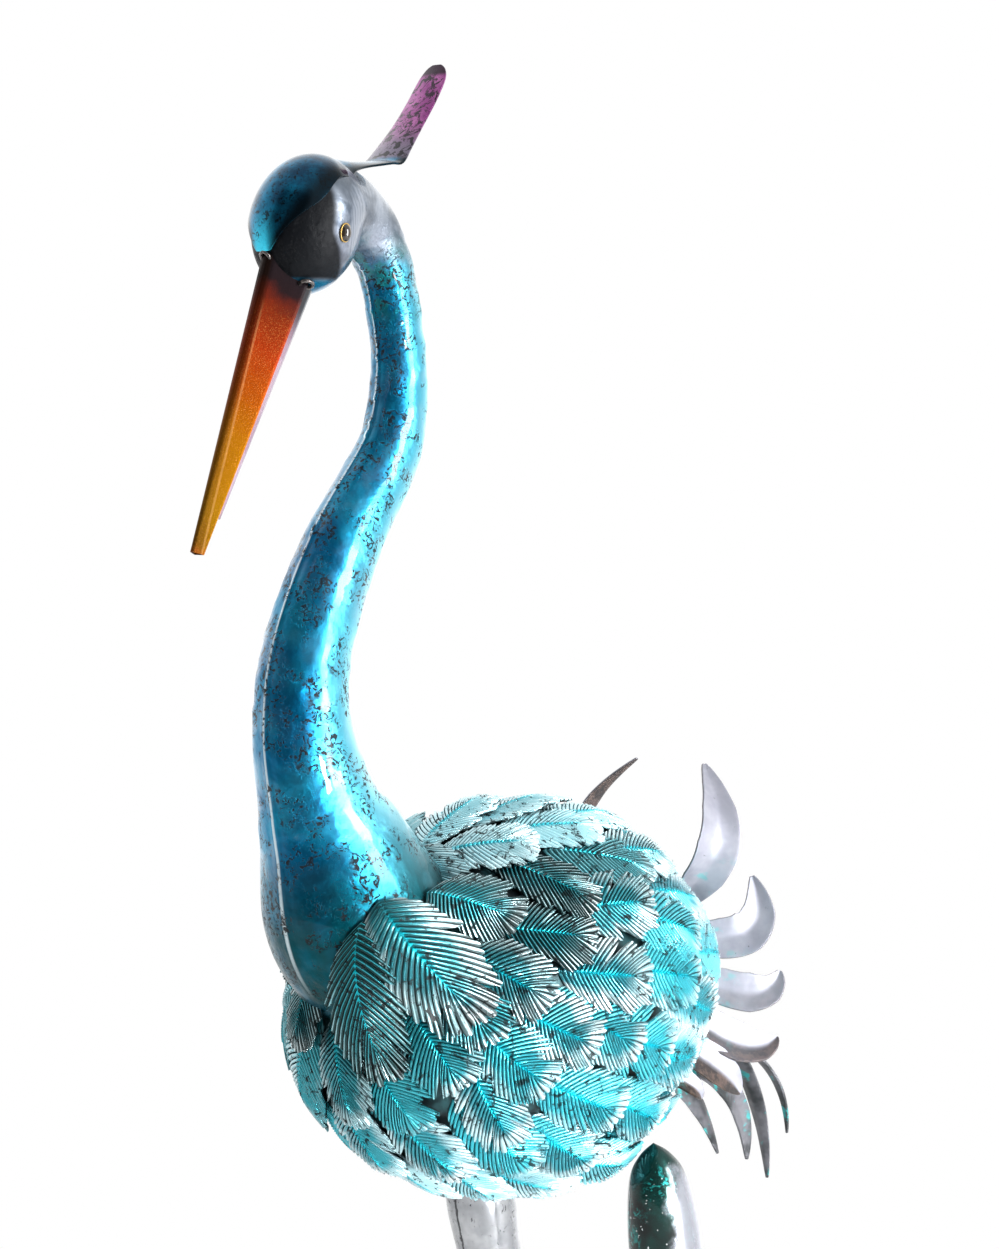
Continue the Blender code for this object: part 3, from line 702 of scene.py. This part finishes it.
def billPaint():
    paint = Paint("billPink")
    blotch = paint.noise(60, 3)
    run, = paint.attributes("run")
    paint.start(blotch.between(0.4, 0.7), (0.32, 0.21, 0.27), (0.40, 0.30, 0.36))
    paint.over(run.between(0.82, 1.0), (0.30, 0.18, 0.08))
    paint.over(1 - run.between(0.18, 0.34), (0.02, 0.02, 0.025))
    return paint.finish(metal=0.5, rough=0.34, coat=0.5, coatRough=0.12)


def loft(name, outline, reach, rows):  # a closed bill through mirrored outlines
    mirrored = [(-wide, deep) for wide, deep in outline] + [(wide, deep) for wide, deep in reversed(outline)]
    across = [point for index, point in enumerate(mirrored) if not index or point != mirrored[index - 1]]
    loop = np.array(across + [across[0]])
    run = beak["length"] - beak["start"]

    def shape(u, v):
        corner = u * (len(loop) - 1)
        index = np.minimum(corner.astype(int), len(loop) - 2)
        part = (corner - index)[:, None]
        wide, deep = (loop[index] * (1 - part) + loop[index + 1] * part).T
        share = v * reach
        size = 1 - (1 - beak["tip"]) * share
        centre = (head["middle"] + beakWay * (beak["start"] + run * share)[:, None]
                  + browWay * (beak["ridge"] + 0.07 * beak["deep"] * share)[:, None])
        return (centre + side * (wide * size * beak["wide"] / 2)[:, None]
                - browWay * (deep * size * beak["deep"])[:, None])

    piece = sewn(shapedGrid(name, (len(loop) - 1) * 3, rows, shape))
    away = pointsOf(piece) - head["middle"]
    setAttribute(piece, "run", np.clip((away @ beakWay - beak["start"]) / run, 0, 1))
    setAttribute(piece, "rise", (beak["ridge"] - away @ browWay) / beak["deep"])
    return piece


def makeBeak():
    upper = loft("upperBill", beak["upperOutline"], 1.0, 60)
    bevelled(upper, 0.0006, 50)
    settle(upper, 35, beakPaint(), "beak_paint", "beak_upper")
    lower = loft("lowerBill", beak["lowerOutline"], 0.88, 50)
    bevelled(lower, 0.0005, 50)
    settle(lower, 35, billPaint(), "beak_lower_paint", "beak_lower")


makeBeak()
print("beak made")


crest = {
    "thick": 0.0012,
    "crown": 0.045,
    "crownWidths": (0.12, 0.30, 0.44, 0.52, 0.56, 0.575, 0.565, 0.53),
    "dip": ((0.18, 0.43, 0.022), (0.42, 0.34, 0.030), (0.68, 0.31, 0.046), (0.88, 0.34, 0.062)),
    "fold": (0.0, 0.0544, 0.0381),  # from the head's middle
    "wide": 0.0235,
    "length": 0.0686,
    "lean": radians(37.8),
    "tongue": ((0.16, 0.60), (0.40, 0.51), (0.65, 0.48), (0.86, 0.44), (0.96, 0.31), (1.0, 0.14)),
    "noseHighlightHeight": 0.946,  # painted highlight: bright patch above the beak
    "foldHeight": 0.9992,  # blue crown below, purple tongue above
    "greyHeight": 1.004,  # foot of the tongue, greyer
    "tipHeight": 1.0465,  # dark tip
}


def crestPaint():
    paint = Paint("crestPurple")
    x, _, z = paint.parts(paint.place())
    tongue = (z - crest["foldHeight"]).between(0.0, 0.003)
    blotch = paint.noise(150, 4, 0.75, distortion=1.2)
    mottle = paint.noise(60, 4, 0.65)
    fine = paint.noise(420, 3, 0.7, distortion=0.8)
    blue = paint.mix(mottle.between(0.35, 0.7), (0.0, 0.035, 0.08), (0.0, 0.16, 0.30))
    edge, = paint.attributes("edge")
    blue = paint.mix(edge.between(0.52, 0.90) * 0.95, blue, (0.001, 0.006, 0.010))
    # painted highlight: a bright speckled cyan patch on the crown just above the beak
    noseHighlight = (1 - (z - crest["noseHighlightHeight"]).between(0.0, 0.026)) * (1 - x.size().between(0.002, 0.011))
    blue = paint.mix(noseHighlight * (0.5 + fine * 0.8), blue, (0.05, 0.70, 0.95))
    specks = fine.between(0.55, 0.60) * paint.noise(45, 3).between(0.40, 0.56)
    blue = paint.mix(specks * 0.9, blue, (0.002, 0.004, 0.006))
    purple = paint.mix(mottle.between(0.38, 0.68), (0.26, 0.055, 0.22), (0.46, 0.15, 0.38))
    purple = paint.mix((1 - (z - crest["greyHeight"]).between(0.0, 0.020)) * 0.85, purple, (0.13, 0.15, 0.18))
    paint.start(tongue, blue, purple)
    tip = (z - crest["tipHeight"]).between(0.0, 0.003)
    dark = (blotch.between(0.50, 0.56) * 0.92).atLeast(tip * 0.9) * tongue
    paint.over(dark, (0.006, 0.005, 0.008))
    return paint.finish(metal=0.92 - dark * 0.6, rough=0.14 + fine * 0.12, coat=0.2,
                        coatRough=0.05, specular=0.2, normal=paint.bump(mottle, 0.2, 0.001))


def crestRows():  # middle, way up from the sheet, half width, curl radius
    lift = 0.0003 + crest["thick"] / 2 + 0.0006
    rows = []
    for index, width in enumerate(crest["crownWidths"]):
        angle = radians(-42.5 + 17.64 * index)
        way = browWay * cos(angle) - beakWay * sin(angle)
        rows.append((onHead(way) + way * lift, way, width * crest["crown"], head["width"] / 2))
    top = rows[-1][0]
    fold = head["middle"] + np.array(crest["fold"])
    for share, width, curl in crest["dip"]:
        point = top * (1 - share) + fold * share - np.array((0.0, 0.0, 0.0026 * sin(pi * share)))
        rows.append((point, unit(np.array((0.0, 0.08, 1.0))), width * crest["crown"], curl))
    tongue = np.array((0.0, sin(crest["lean"]), cos(crest["lean"])))
    face = np.array((0.0, -cos(crest["lean"]), sin(crest["lean"])))
    rows.append((fold, unit(face + np.array((0.0, 0.0, 1.0))), 0.69 * crest["wide"], 0.062))
    for share, width in crest["tongue"]:
        point = fold + (tongue * share - face * 0.035 * sin(pi * share)) * crest["length"]
        rows.append((point, face, width * crest["wide"], 0.0516))
    return rows


def makeCrest():
    keys = np.array([[*middle, *up, half, curl] for middle, up, half, curl in crestRows()])
    record = {}

    def sheet(u, v):
        record["edge"] = np.abs(2 * u - 1)
        values = curveThrough(keys, v)
        middle, up = values[:, 0:3], unit(values[:, 3:6])
        half, curl = values[:, 6], values[:, 7]
        across = (2 * u - 1) * np.maximum(half, 0.0005)
        drop = curl - np.sqrt(np.maximum(curl ** 2 - across ** 2, 0))
        points = middle + side * across[:, None] - up * drop[:, None]
        floor = 1 + (0.0009 + crest["thick"] / 2) / (head["width"] / 2)
        level = headLevel(points)
        scale = np.where(level < floor, floor / level, 1.0)[:, None]
        return head["middle"] + (points - head["middle"]) * scale

    plate = shapedGrid("crownSheet", 20, 90, sheet)
    setAttribute(plate, "edge", record["edge"])
    applied(plate, "SOLIDIFY", thickness=crest["thick"], offset=0.0)
    bevelled(plate, 0.0003, 60)
    settle(plate, 50, crestPaint(), "crest_paint", "crown_crest")


makeCrest()
print("crown and crest made")


feather = {
    "length": 0.064,
    "half": 0.0225,
    "barbs": 22,
    "ridge": 0.0015,
    "rib": 0.0013,
    "skirt": 0.0009,
    "rise": 0.0062,
    "sink": 0.0030,
    "count": 122,
    "spacing": 0.050,
    "styles": 8,
    "collar": 6,  # the first placed feathers, of the left side, may lie on the neck
    "shortest": 0.056,
}

# placed feathers, mirrored on the far flank: bearing from the neck's pole and turn from the top, of the
# root and then of the tip, growth in length, width
placedFeathers = (
    (7, 161, 41, 138, 1.08, 1.48), (12, 172, 39, 162, 1.12, 1.15), (33, 148, 45, 150, 1.35, 1.1),
    (38, 164, 47, 163, 1.25, 1.0), (9, 68, 33, 76, 1.05, 1.0), (13, 111, 35, 111, 1.05, 1.05),
    (37, 111, 53, 109, 1.25, 1.05), (47, 100, 73, 96, 1.15, 1.05), (34, 125, 48, 126, 1.3, 1.05),
    (52, 117, 71, 115, 1.2, 1.05), (49, 130, 62, 131, 1.3, 1.05), (42, 139, 57, 141, 1.25, 1.05),
    (64, 128, 83, 129, 1.2, 1.05), (58, 141, 76, 142, 1.25, 1.05), (50, 155, 67, 157, 1.2, 1.05),
    (72, 113, 92, 115, 1.2, 1.05),
)
neckPole = np.array((0.0, -0.0644, 0.6163))
tailPole = np.array((0.0, 0.1725, 0.5740))


def byBearing(bearing, turn, way):
    middle = (neckPole + tailPole) / 2
    axis = unit(neckPole - tailPole)
    top = unit(np.array((0.0, 0.0, 1.0)) - axis * axis[2])
    left = np.cross(axis, top)
    left = left if left[0] > 0 else -left
    b, t = radians(bearing), radians(turn)
    ray = axis * cos(b) + (top * cos(t) + left * way * sin(t)) * sin(b)
    low, high = 0.0, 0.4
    for _ in range(40):  # where the ray leaves the egg
        half = (low + high) / 2
        low, high = (half, high) if eggLevel((middle + ray * half)[None])[0] < 1 else (low, half)
    return middle + ray * low


def featherFlow(points):
    away = points - neckPole
    toward = tailPole - points
    flow = away / (away ** 2).sum(1, keepdims=True) + toward / (toward ** 2).sum(1, keepdims=True)
    normal = eggNormal(points)
    return unit(flow - normal * (flow * normal).sum(1, keepdims=True))


def featherSeats():  # middles, flow and lengths of all the feathers
    fixed = []
    for _, hand in hands:
        for number, (bearingA, turnA, bearingB, turnB, grow, wide) in enumerate(placedFeathers):
            if hand < 0 and number < 2:  # the far side's collar starts lower
                bearingA, bearingB = bearingA + 16, bearingB + 12
            root, tip = byBearing(bearingA, turnA, hand), byBearing(bearingB, turnB, hand)
            way = unit(tip - root)
            length = max(np.linalg.norm(tip - root) * grow, feather["shortest"])
            fixed.append((tip - way * length * 0.5, way, length, wide))
    count = feather["count"] - len(fixed)
    golden = pi * (3 - sqrt(5))
    index = np.arange(count)
    level = 1 - 2 * (index + 0.5) / count
    ring = np.sqrt(1 - level ** 2)
    free = egg["middle"] + np.stack([egg["side"] * ring * np.sin(golden * index),
                                     -level * np.where(level > 0, egg["front"], egg["back"]),
                                     egg["up"] * ring * np.cos(golden * index)], 1)
    pinned = onEgg(np.array([place[0] for place in fixed]))
    places = np.concatenate([pinned, onEgg(free)])
    for _ in range(120):  # push apart until evenly spread
        flow = featherFlow(places)
        gap = places[:, None, :] - places[None, :, :]
        run = (gap * flow[:, None, :]).sum(2)
        distance = np.sqrt((gap ** 2).sum(2) - 0.30 * run ** 2) + 1e-9
        push = np.clip(1 - distance / feather["spacing"], 0, 1)
        np.fill_diagonal(push, 0)
        shift = (gap / distance[:, :, None] * push[:, :, None]).sum(1) * feather["spacing"] * 0.22
        shift[:len(fixed)] = 0
        places = onEgg(places + shift)
    flow = featherFlow(places)
    lengths = np.full(len(places), feather["length"])
    widths = np.ones(len(places))
    for number, (seat, way, length, wide) in enumerate(fixed):
        normal = eggNormal(places[number:number + 1])[0]
        flow[number] = unit(way - normal * way.dot(normal))
        lengths[number] = length
        widths[number] = wide
    return places, flow, lengths, widths, len(fixed)


def overNeck(points):  # lift a collar feather onto the neck, towards the side it is seen from
    towards = unit(np.array((np.sign(points[:, 0].mean()), -1.0, 0.05)))
    lifts = np.zeros(len(points))
    for _ in range(70):
        inside = nearNeck(points + towards * lifts[:, None])[2] < 1.03
        if not inside.any():
            break
        lifts[inside] += 0.001
    gaps = np.sqrt(((points[:, None, :] - points[None, :, :]) ** 2).sum(2))
    lifts = (lifts[None, :] - 0.7 * gaps).max(1)
    return points + towards * np.maximum(lifts, 0)[:, None]


def featherBlank(style):  # one flat feather: midrib along +Y, barbs swept to the tip
    rng = np.random.default_rng(20 + style)
    barbs = feather["barbs"]
    half = feather["half"]
    length = feather["length"]
    splits = [(rng.uniform(0.25, 0.95), way, rng.uniform(0.2, 0.5)) for way in (-1, 1)
              for _ in range(rng.integers(2, 5))]
    wave = rng.uniform(-0.07, 0.07, (2, barbs + 2))

    def shape(u, v):
        across = np.sign(u - 0.5)
        t = np.interp(np.abs(2 * u - 1), np.linspace(0, 1, 6), (0.0, 0.05, 0.20, 0.46, 0.74, 1.0))
        number = np.minimum((v * barbs + 0.001).astype(int), barbs - 1)
        phase = np.interp(v * barbs - number, (0, 0.25, 0.5, 0.75, 1), (0, 0.19, 0.5, 0.81, 1))
        crown = np.interp(phase, (0, 0.19, 0.5, 0.81, 1), (0, 0.82, 1, 0.82, 0))
        s = (number + phase) / barbs
        angle = radians(60) - radians(22) * step(0.1, 0.85, s) - radians(36) * step(0.82, 1.0, s)
        reach = half * np.interp(s, (0, 0.12, 0.3, 0.5, 0.68, 0.84, 0.94, 1.0),
                                 (0.42, 0.82, 1.10, 1.18, 1.10, 0.84, 0.62, 0.46))
        reach = reach * (1 + wave[(across > 0).astype(int), number])
        for spot, way, deep in splits:
            near = np.clip(1 - np.abs(s * barbs - round(spot * barbs)) / 0.8, 0, 1)
            reach = reach * (1 - deep * near * (across == way))
        reach = reach + 0.0020 * (crown - 0.5) * step(0.7, 1.0, t)
        bend = angle - radians(7) * t
        x = across * t * reach * np.sin(bend)
        y = 0.84 * length * (1 - (1 - s) ** 1.2) + t * reach * np.cos(bend)
        ramp = step(0.0, 0.06, t)
        z = feather["ridge"] * crown * ramp + feather["rib"] * (1 - step(0.0, 0.12, t)) - 0.03 * half * t ** 2
        z = z * (0.35 + 0.65 * step(0.0, 0.12, s))
        record["barb"], record["reach"], record["run"] = crown * ramp + 1 - ramp, t, s
        return np.stack([x, y, z], 1)

    record = {}
    piece = shapedGrid("featherBlank", 10, barbs * 4, shape)
    for name in ("barb", "reach", "run"):
        setAttribute(piece, name, record[name])
    facedOut(piece)
    openMesh(piece)
    selectRim()
    bpy.ops.mesh.extrude_region_move(TRANSFORM_OT_translate={"value": (0, 0, -feather["skirt"])})
    bpy.ops.mesh.edge_face_add()
    bpy.ops.object.mode_set(mode="OBJECT")
    return piece


def featherPaint():
    paint = Paint("featherTeal")
    barb, reach, run, tint, shade, pale = paint.attributes("barb", "reach", "run", "tint", "shade", "pale")
    cloud = paint.noise(34, 3, 0.6)
    grime = paint.noise(190, 4, 0.7, distortion=0.8)
    silver = paint.mix(cloud.between(0.35, 0.7), (0.45, 0.74, 0.80), (0.90, 0.97, 0.98))
    teal = paint.mix(tint, (0.0, 0.22, 0.28), (0.02, 0.46, 0.55))
    wash = (1 - reach.between(0.15, 0.95)) * 0.75 + (cloud - 0.5) * 1.8 + tint * 0.6
    wash = (wash - run.between(0.55, 1.0) * 0.35).between(0.0, 0.70)
    paint.start(wash * 0.95, silver, teal)
    # painted reflection: feathers facing straight up or down, and those towards the rump, are painted pale
    # cyan as if lit by the bright room
    paint.over((pale * (0.35 + cloud * 0.9)).atMost(1.0), (0.62, 0.90, 0.95))
    spine = (1 - reach.between(0.02, 0.16)) * run.between(0.1, 0.3)
    paint.over(spine * 0.9, (0.0, 0.46, 0.56))
    night = paint.mix(grime, (0.0, 0.005, 0.006), (0.0, 0.045, 0.045))
    paint.over(shade * (1 - barb.between(0.90, 1.0) * 0.8), night)
    groove = 1 - barb.between(0.26, 0.76)
    soot = (groove * (1.0 - cloud * 0.15)).atLeast(grime.between(0.56, 0.61) * 0.94)
    paint.over(soot, (0.002, 0.004, 0.005))
    return paint.finish(metal=(0.60 - pale * 0.30) * (1 - soot),
                        rough=0.20 + grime * 0.10 + soot * 0.3, coat=0.3 - soot * 0.3, coatRough=0.06,
                        specular=0.15, normal=paint.bump(grime, 0.15, 0.0004))


def corePaint():
    paint = Paint("bodyCore")
    blotch = paint.noise(60, 4)
    paint.start(blotch.between(0.4, 0.7), (0.004, 0.008, 0.010), (0.02, 0.08, 0.09))
    return paint.finish(metal=0.5, rough=0.4, normal=paint.bump(blotch, 0.3, 0.001))


def groupOf(seat):  # the joined piece that a feather belongs to
    left, back, up = seat - egg["middle"]
    if back < -0.085:
        return "breast"
    if back > 0.075:
        return "rump"
    if up > 0.085:
        return "saddle"
    return "leftFlank" if left > 0 else "rightFlank"


def makeFeathers():
    places, flow, lengths, widths, fixed = featherSeats()
    blanks = [featherBlank(style) for style in range(feather["styles"])]
    rng = np.random.default_rng(11)
    paint = featherPaint()
    groups = {"breast": [], "leftFlank": [], "rightFlank": [], "saddle": [], "rump": []}
    for number, (seat, way, length) in enumerate(zip(places, flow, lengths)):
        blank = blanks[rng.integers(len(blanks))]
        clearSelection()
        copy = bpy.data.objects.new("feather", blank.data.copy())
        bpy.context.scene.collection.objects.link(copy)
        turn = 0.0 if number < fixed else rng.normal(0, radians(6))
        roll = rng.normal(0, 0.05)
        scale = length / feather["length"]
        wide = widths[number] if number < fixed else rng.uniform(0.94, 1.06)
        normal = eggNormal(seat[None])[0]
        heading = way * cos(turn) + np.cross(normal, way) * sin(turn)
        across = np.cross(heading, normal)
        raw = pointsOf(copy)
        x, y, z = raw[:, 0] * wide, (raw[:, 1] - feather["length"] / 2) * scale, raw[:, 2]
        share = np.clip(raw[:, 1] / feather["length"], 0, 1)
        lift = share * feather["rise"] - (1 - share) * feather["sink"] + z + x * roll + rng.uniform(0, 0.001)
        points = onEgg(seat + heading * y[:, None] + across * x[:, None], lift)
        if number < feather["collar"]:
            points = overNeck(points)
        setPoints(copy, points)
        distance = np.linalg.norm(seat - neckPole)
        back = seat[1] - egg["middle"][1]
        shade = np.clip(2.25 - distance / 0.070, 0, 1) * rng.uniform(0.8, 1.0)
        shade = shade * (1 - step(0.72, 0.94, abs(normal[2])))
        # painted reflection: how much of the pale wash a feather gets, from facing up or down and from lying
        # towards the rump
        flat = max(step(0.68, 0.94, abs(normal[2])), step(0.040, 0.100, back) * 0.9)
        looks = (("tint", rng.uniform(0, 1)), ("pale", flat * rng.uniform(0.5, 1.0)), ("shade", shade))
        for name, value in looks:
            setAttribute(copy, name, np.full(len(raw), value))
        groups[groupOf(seat)].append(copy)
    for name, copies in groups.items():
        only(copies[0])
        for copy in copies:
            copy.select_set(True)
        bpy.ops.object.join()
        settle(newPiece("feathers_" + name), 50, paint, "feather_paint", "feathered_body")
    for blank in blanks:
        bpy.data.objects.remove(blank)
    core = newBall("bodyShell", 96, 48)
    setPoints(core, onEgg(egg["middle"] + pointsOf(core) * 0.1, -0.0025))
    settle(core, 60, corePaint(), "feather_paint", "feathered_body")


makeFeathers()
print("feathers made")


tail = {
    "reach": np.array((0.107, 0.1228, 0.1085)),  # half width, back and half height of the egg
    "thick": 0.0014,
    "plume": 0.021,
    "hanger": 0.016,
    "plumes": {  # root, bend and tip in shares of reach, way that the sheet faces, share of the width
        "top": ((0.243, 0.912, 0.424), (0.836, 0.806, 0.719), (0.252, 1.051, 1.152),
                (0.9, -0.4, 0.1), 1.30),
        "upper": ((0.336, 0.888, 0.240), (0.748, 1.124, 0.129), (0.495, 1.157, 0.553),
                  (0.7, -0.7, 0.2), 1.20),
        "middle": ((0.393, 0.872, 0.028), (0.729, 1.059, -0.166), (0.673, 1.181, 0.055),
                   (0.65, -0.65, 0.35), 1.10),
        "lower": ((0.383, 0.855, -0.175), (0.617, 1.043, -0.442), (0.617, 1.222, -0.313),
                  (0.62, -0.58, 0.50), 1.15),
        "outer": ((0.439, 0.733, -0.313), (0.598, 0.912, -0.424), (0.505, 1.067, -0.618),
                  (0.8, -0.45, 0.40), 1.05),
        "small": ((0.514, 0.570, -0.433), (0.636, 0.684, -0.479), (0.561, 0.733, -0.590),
                  (0.9, -0.2, 0.4), 0.60),
    },
    "hangers": {
        "middle": ((0.000, 0.969, -0.147), (0.000, 1.727, -0.332), (0.000, 1.784, -1.272),
                   (0.0, 0.6, 0.8), 1.00),
        "inner": ((0.159, 0.937, -0.240), (0.374, 1.548, -0.350), (0.327, 1.597, -0.940),
                  (0.4, 0.5, 0.8), 0.90),
        "outer": ((0.206, 0.847, -0.415), (0.243, 1.401, -0.516), (0.112, 1.515, -1.106),
                  (0.9, -0.3, 0.3), 1.00),
    },
    "gloom": {"top": 0.0, "upper": 0.0, "middle": 0.25, "lower": 0.75, "outer": 0.95, "small": 1.0},
    "root": 0.012,
    "columns": 12,
    "rows": 40,
}


def tailPaint(dark):
    paint = Paint("tailGunmetal" if dark else "tailSilver")
    run, under, inside = paint.attributes("run", "under", "inside")
    cloud = paint.noise(50, 3, 0.6)
    fine = paint.noise(420, 3, 0.6)
    silver = paint.mix(cloud.between(0.35, 0.7), (0.24, 0.245, 0.29), (0.33, 0.335, 0.385))
    gun = paint.mix(cloud.between(0.35, 0.65), (0.03, 0.034, 0.038), (0.16, 0.16, 0.18))
    rust = paint.noise(110, 4, 0.7).between(0.40, 0.62)
    brown = paint.mix(rust, (0.010, 0.006, 0.004), (0.09, 0.055, 0.04))
    paint.colour = gun if dark else paint.mix(under.atLeast(inside * 0.9), silver, brown)
    patch = paint.noise(90, 3, 0.6).between(0.54, 0.66)
    teal = patch * (0.8 if dark else (1 - run.between(0.15, 0.5)) * 0.6)
    paint.over(teal, (0.02, 0.42, 0.42))
    specks = paint.noise(240, 4, 0.8).between(0.66, 0.72)
    paint.over(specks * 0.7, (0.01, 0.01, 0.01))
    return paint.finish(metal=0.45, rough=0.46 + fine * 0.12, coat=0.15, coatRough=0.2,
                        normal=paint.bump(fine, 0.12, 0.0003))


def makeBlade(name, form, width, paint, way=1, gloom=0.0):
    mirror = np.array((way, 1, 1))
    root, bend, tip = (egg["middle"] + np.array(point) * mirror * tail["reach"] for point in form[:3])
    facing = unit(np.array(form[3]) * mirror)
    root = root + unit(root - bend) * tail["root"]
    share = form[4]
    columns, rows = tail["columns"], tail["rows"]

    def sheet(u, v):
        part = v[:, None]
        middle = root * (1 - part) ** 2 + bend * 2 * part * (1 - part) + tip * part ** 2
        along = unit((bend - root) * (1 - part) + (tip - bend) * part)
        across = unit(np.cross(along, facing))
        size = np.interp(v, (0, 0.25, 0.5, 0.75, 0.9, 0.97, 1.0), (0.50, 0.92, 1.0, 0.78, 0.45, 0.24, 0.10))
        offset = 2 * u - 1
        half = size * width * share / 2
        crease = (1 - np.abs(offset) ** 1.3) * 0.17 * width * share * size
        return middle + across * (offset * half)[:, None] - np.cross(across, along) * crease[:, None]

    blade = shapedGrid(name, columns, rows, sheet)
    flat = pointsOf(blade).reshape(rows + 1, columns + 1, 3)
    low = -np.sign(flat[:, -1:, 2] - flat[:, :1, 2]) * np.linspace(-1, 1, columns + 1)[None]
    setAttribute(blade, "run", np.repeat(np.linspace(0, 1, rows + 1), columns + 1))
    setAttribute(blade, "under", (gloom * step(-0.15, 0.35, low)).ravel())
    applied(blade, "SOLIDIFY", thickness=tail["thick"], offset=0.0)
    both = pointsOf(blade)
    half = len(both) // 2
    outer = ((both[half:] - both[:half]) @ facing).mean() > 0
    inside = np.zeros(len(both))
    inside[:half] = outer
    inside[half:] = not outer
    setAttribute(blade, "inside", inside)
    bevelled(blade, 0.0003, 60)
    settle(blade, 50, paint, "tail_paint", "tail_" + name)


def makeTail():
    silver, gunmetal = tailPaint(False), tailPaint(True)
    for label, form in tail["plumes"].items():
        for hand, way in hands:
            makeBlade("plume_" + label + "_" + hand, form, tail["plume"], silver, way, tail["gloom"][label])
    makeBlade("hanger_middle", tail["hangers"]["middle"], tail["hanger"], gunmetal)
    for label in ("inner", "outer"):
        for hand, way in hands:
            makeBlade("hanger_" + label + "_" + hand, tail["hangers"][label], tail["hanger"], gunmetal, way)


makeTail()
print("tail made")


leg = {
    "hip": (0.076, 0.046, 0.455),
    "ankle": (0.068, 0.092, 0.235),
    "thigh": 0.0205,
    "slim": 0.010,
}


def legPaint(paintedReflection):
    paint = Paint("legPaintedReflection" if paintedReflection else "legGreen")
    x, y, z = paint.parts(paint.place())
    cloud = paint.noise(30, 4, 0.6)
    fleck = paint.noise(430, 2, 0.6).between(0.69, 0.72)
    streak = paint.noise(90, 4, 0.7, distortion=2.0)
    # painted reflection: the same leg paint in pale silver-grey, as if reflecting the bright backdrop, with
    # its dark seam and streaks
    if paintedReflection:
        paint.start(cloud.between(0.4, 0.65), (0.30, 0.31, 0.33), (0.52, 0.53, 0.55))
        paint.over(streak.between(0.61, 0.64) * 0.95, (0.006, 0.008, 0.010))
        seam = 1 - (x + 0.0735 + (streak - 0.5) * 0.004).size().between(0.0004, 0.0010)
        paint.over(seam * 0.9, (0.006, 0.008, 0.010))
    else:
        paint.start(cloud.between(0.4, 0.65), (0.003, 0.006, 0.006), (0.003, 0.035, 0.030))
        scales = streak.between(0.555, 0.575) * (1 - streak.between(0.59, 0.61))
        paint.over(scales * paint.noise(25, 2).between(0.50, 0.62), (0.02, 0.42, 0.40))
        paint.over(fleck, (0.7, 0.75, 0.75))
        # painted reflection: the thigh's side towards the back is painted pale grey
        back = (x + y - z * 0.20 + (cloud - 0.5) * 0.05).between(0.052, 0.062) * (z - 0.24).between(0.0, 0.02)
        paint.over(back * 0.85, (0.36, 0.37, 0.42))
    return paint.finish(metal=0.7, rough=0.18 + cloud * 0.12, coat=0.5, coatRough=0.05,
                        specular=0.3, normal=paint.bump(paint.noise(140, 3), 0.3, 0.0008))


def basePaint():
    paint = Paint("baseBlack")
    cloud = paint.noise(45, 4, 0.6)
    grit = paint.noise(700, 3, 0.7)
    wear = (grit + paint.parts(paint.place())[2] * 60).between(0.95, 1.1)
    paint.start(cloud, (0.012, 0.014, 0.014), (0.03, 0.05, 0.05))
    paint.over(wear * 0.5, (0.06, 0.28, 0.30))
    return paint.finish(metal=0.4, rough=0.38 + cloud * 0.15, coat=0.3, coatRough=0.2,
                        normal=paint.bump(grit, 0.25, 0.0004))


def makeThigh(label, way, paint):
    hip = np.array(leg["hip"]) * (way, 1, 1)
    ankle = np.array(leg["ankle"]) * (way, 1, 1)
    length = np.linalg.norm(hip - ankle)
    axis = unit(ankle - hip)
    front = unit(np.cross(axis, side))
    left = np.cross(front, axis)
    full, slim = leg["thigh"], leg["slim"]
    profile = np.array((
        (0.0, 0.0), (0.45 * full, 0.39 * full), (0.80 * full, 1.07 * full), (full, 0.24 * length),
        (0.96 * full, 0.36 * length), (0.74 * full, 0.60 * length), (0.46 * full, 0.84 * length),
        (0.92 * slim, length - 1.6 * slim), (slim, length - 0.7 * slim), (0.72 * slim, length),
        (0.0, length + 0.2 * slim)))

    def turned(u, v):
        values = curveThrough(profile, v)
        angle = 2 * pi * u
        radius = np.maximum(values[:, 0], 0)
        return (hip + axis * values[:, 1:2] + front * (np.cos(angle) * radius)[:, None]
                + left * (np.sin(angle) * radius)[:, None])

    thigh = sewn(shapedGrid("thighShell_" + label, 48, 80, turned))
    settle(thigh, 50, paint, "leg_paint", "thigh_" + label)


def makeLegs():
    paint = legPaint(False)
    # the far thigh gets the pale copy of the leg paint, a painted reflection
    for (label, way), skin in zip(hands, (paint, legPaint(True))):
        makeThigh(label, way, skin)
        for name in ("shank_", "foot_"):
            painted(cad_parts[name + label], paint)
    painted(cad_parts["base_plate"], basePaint())


makeLegs()
print("legs and base made")
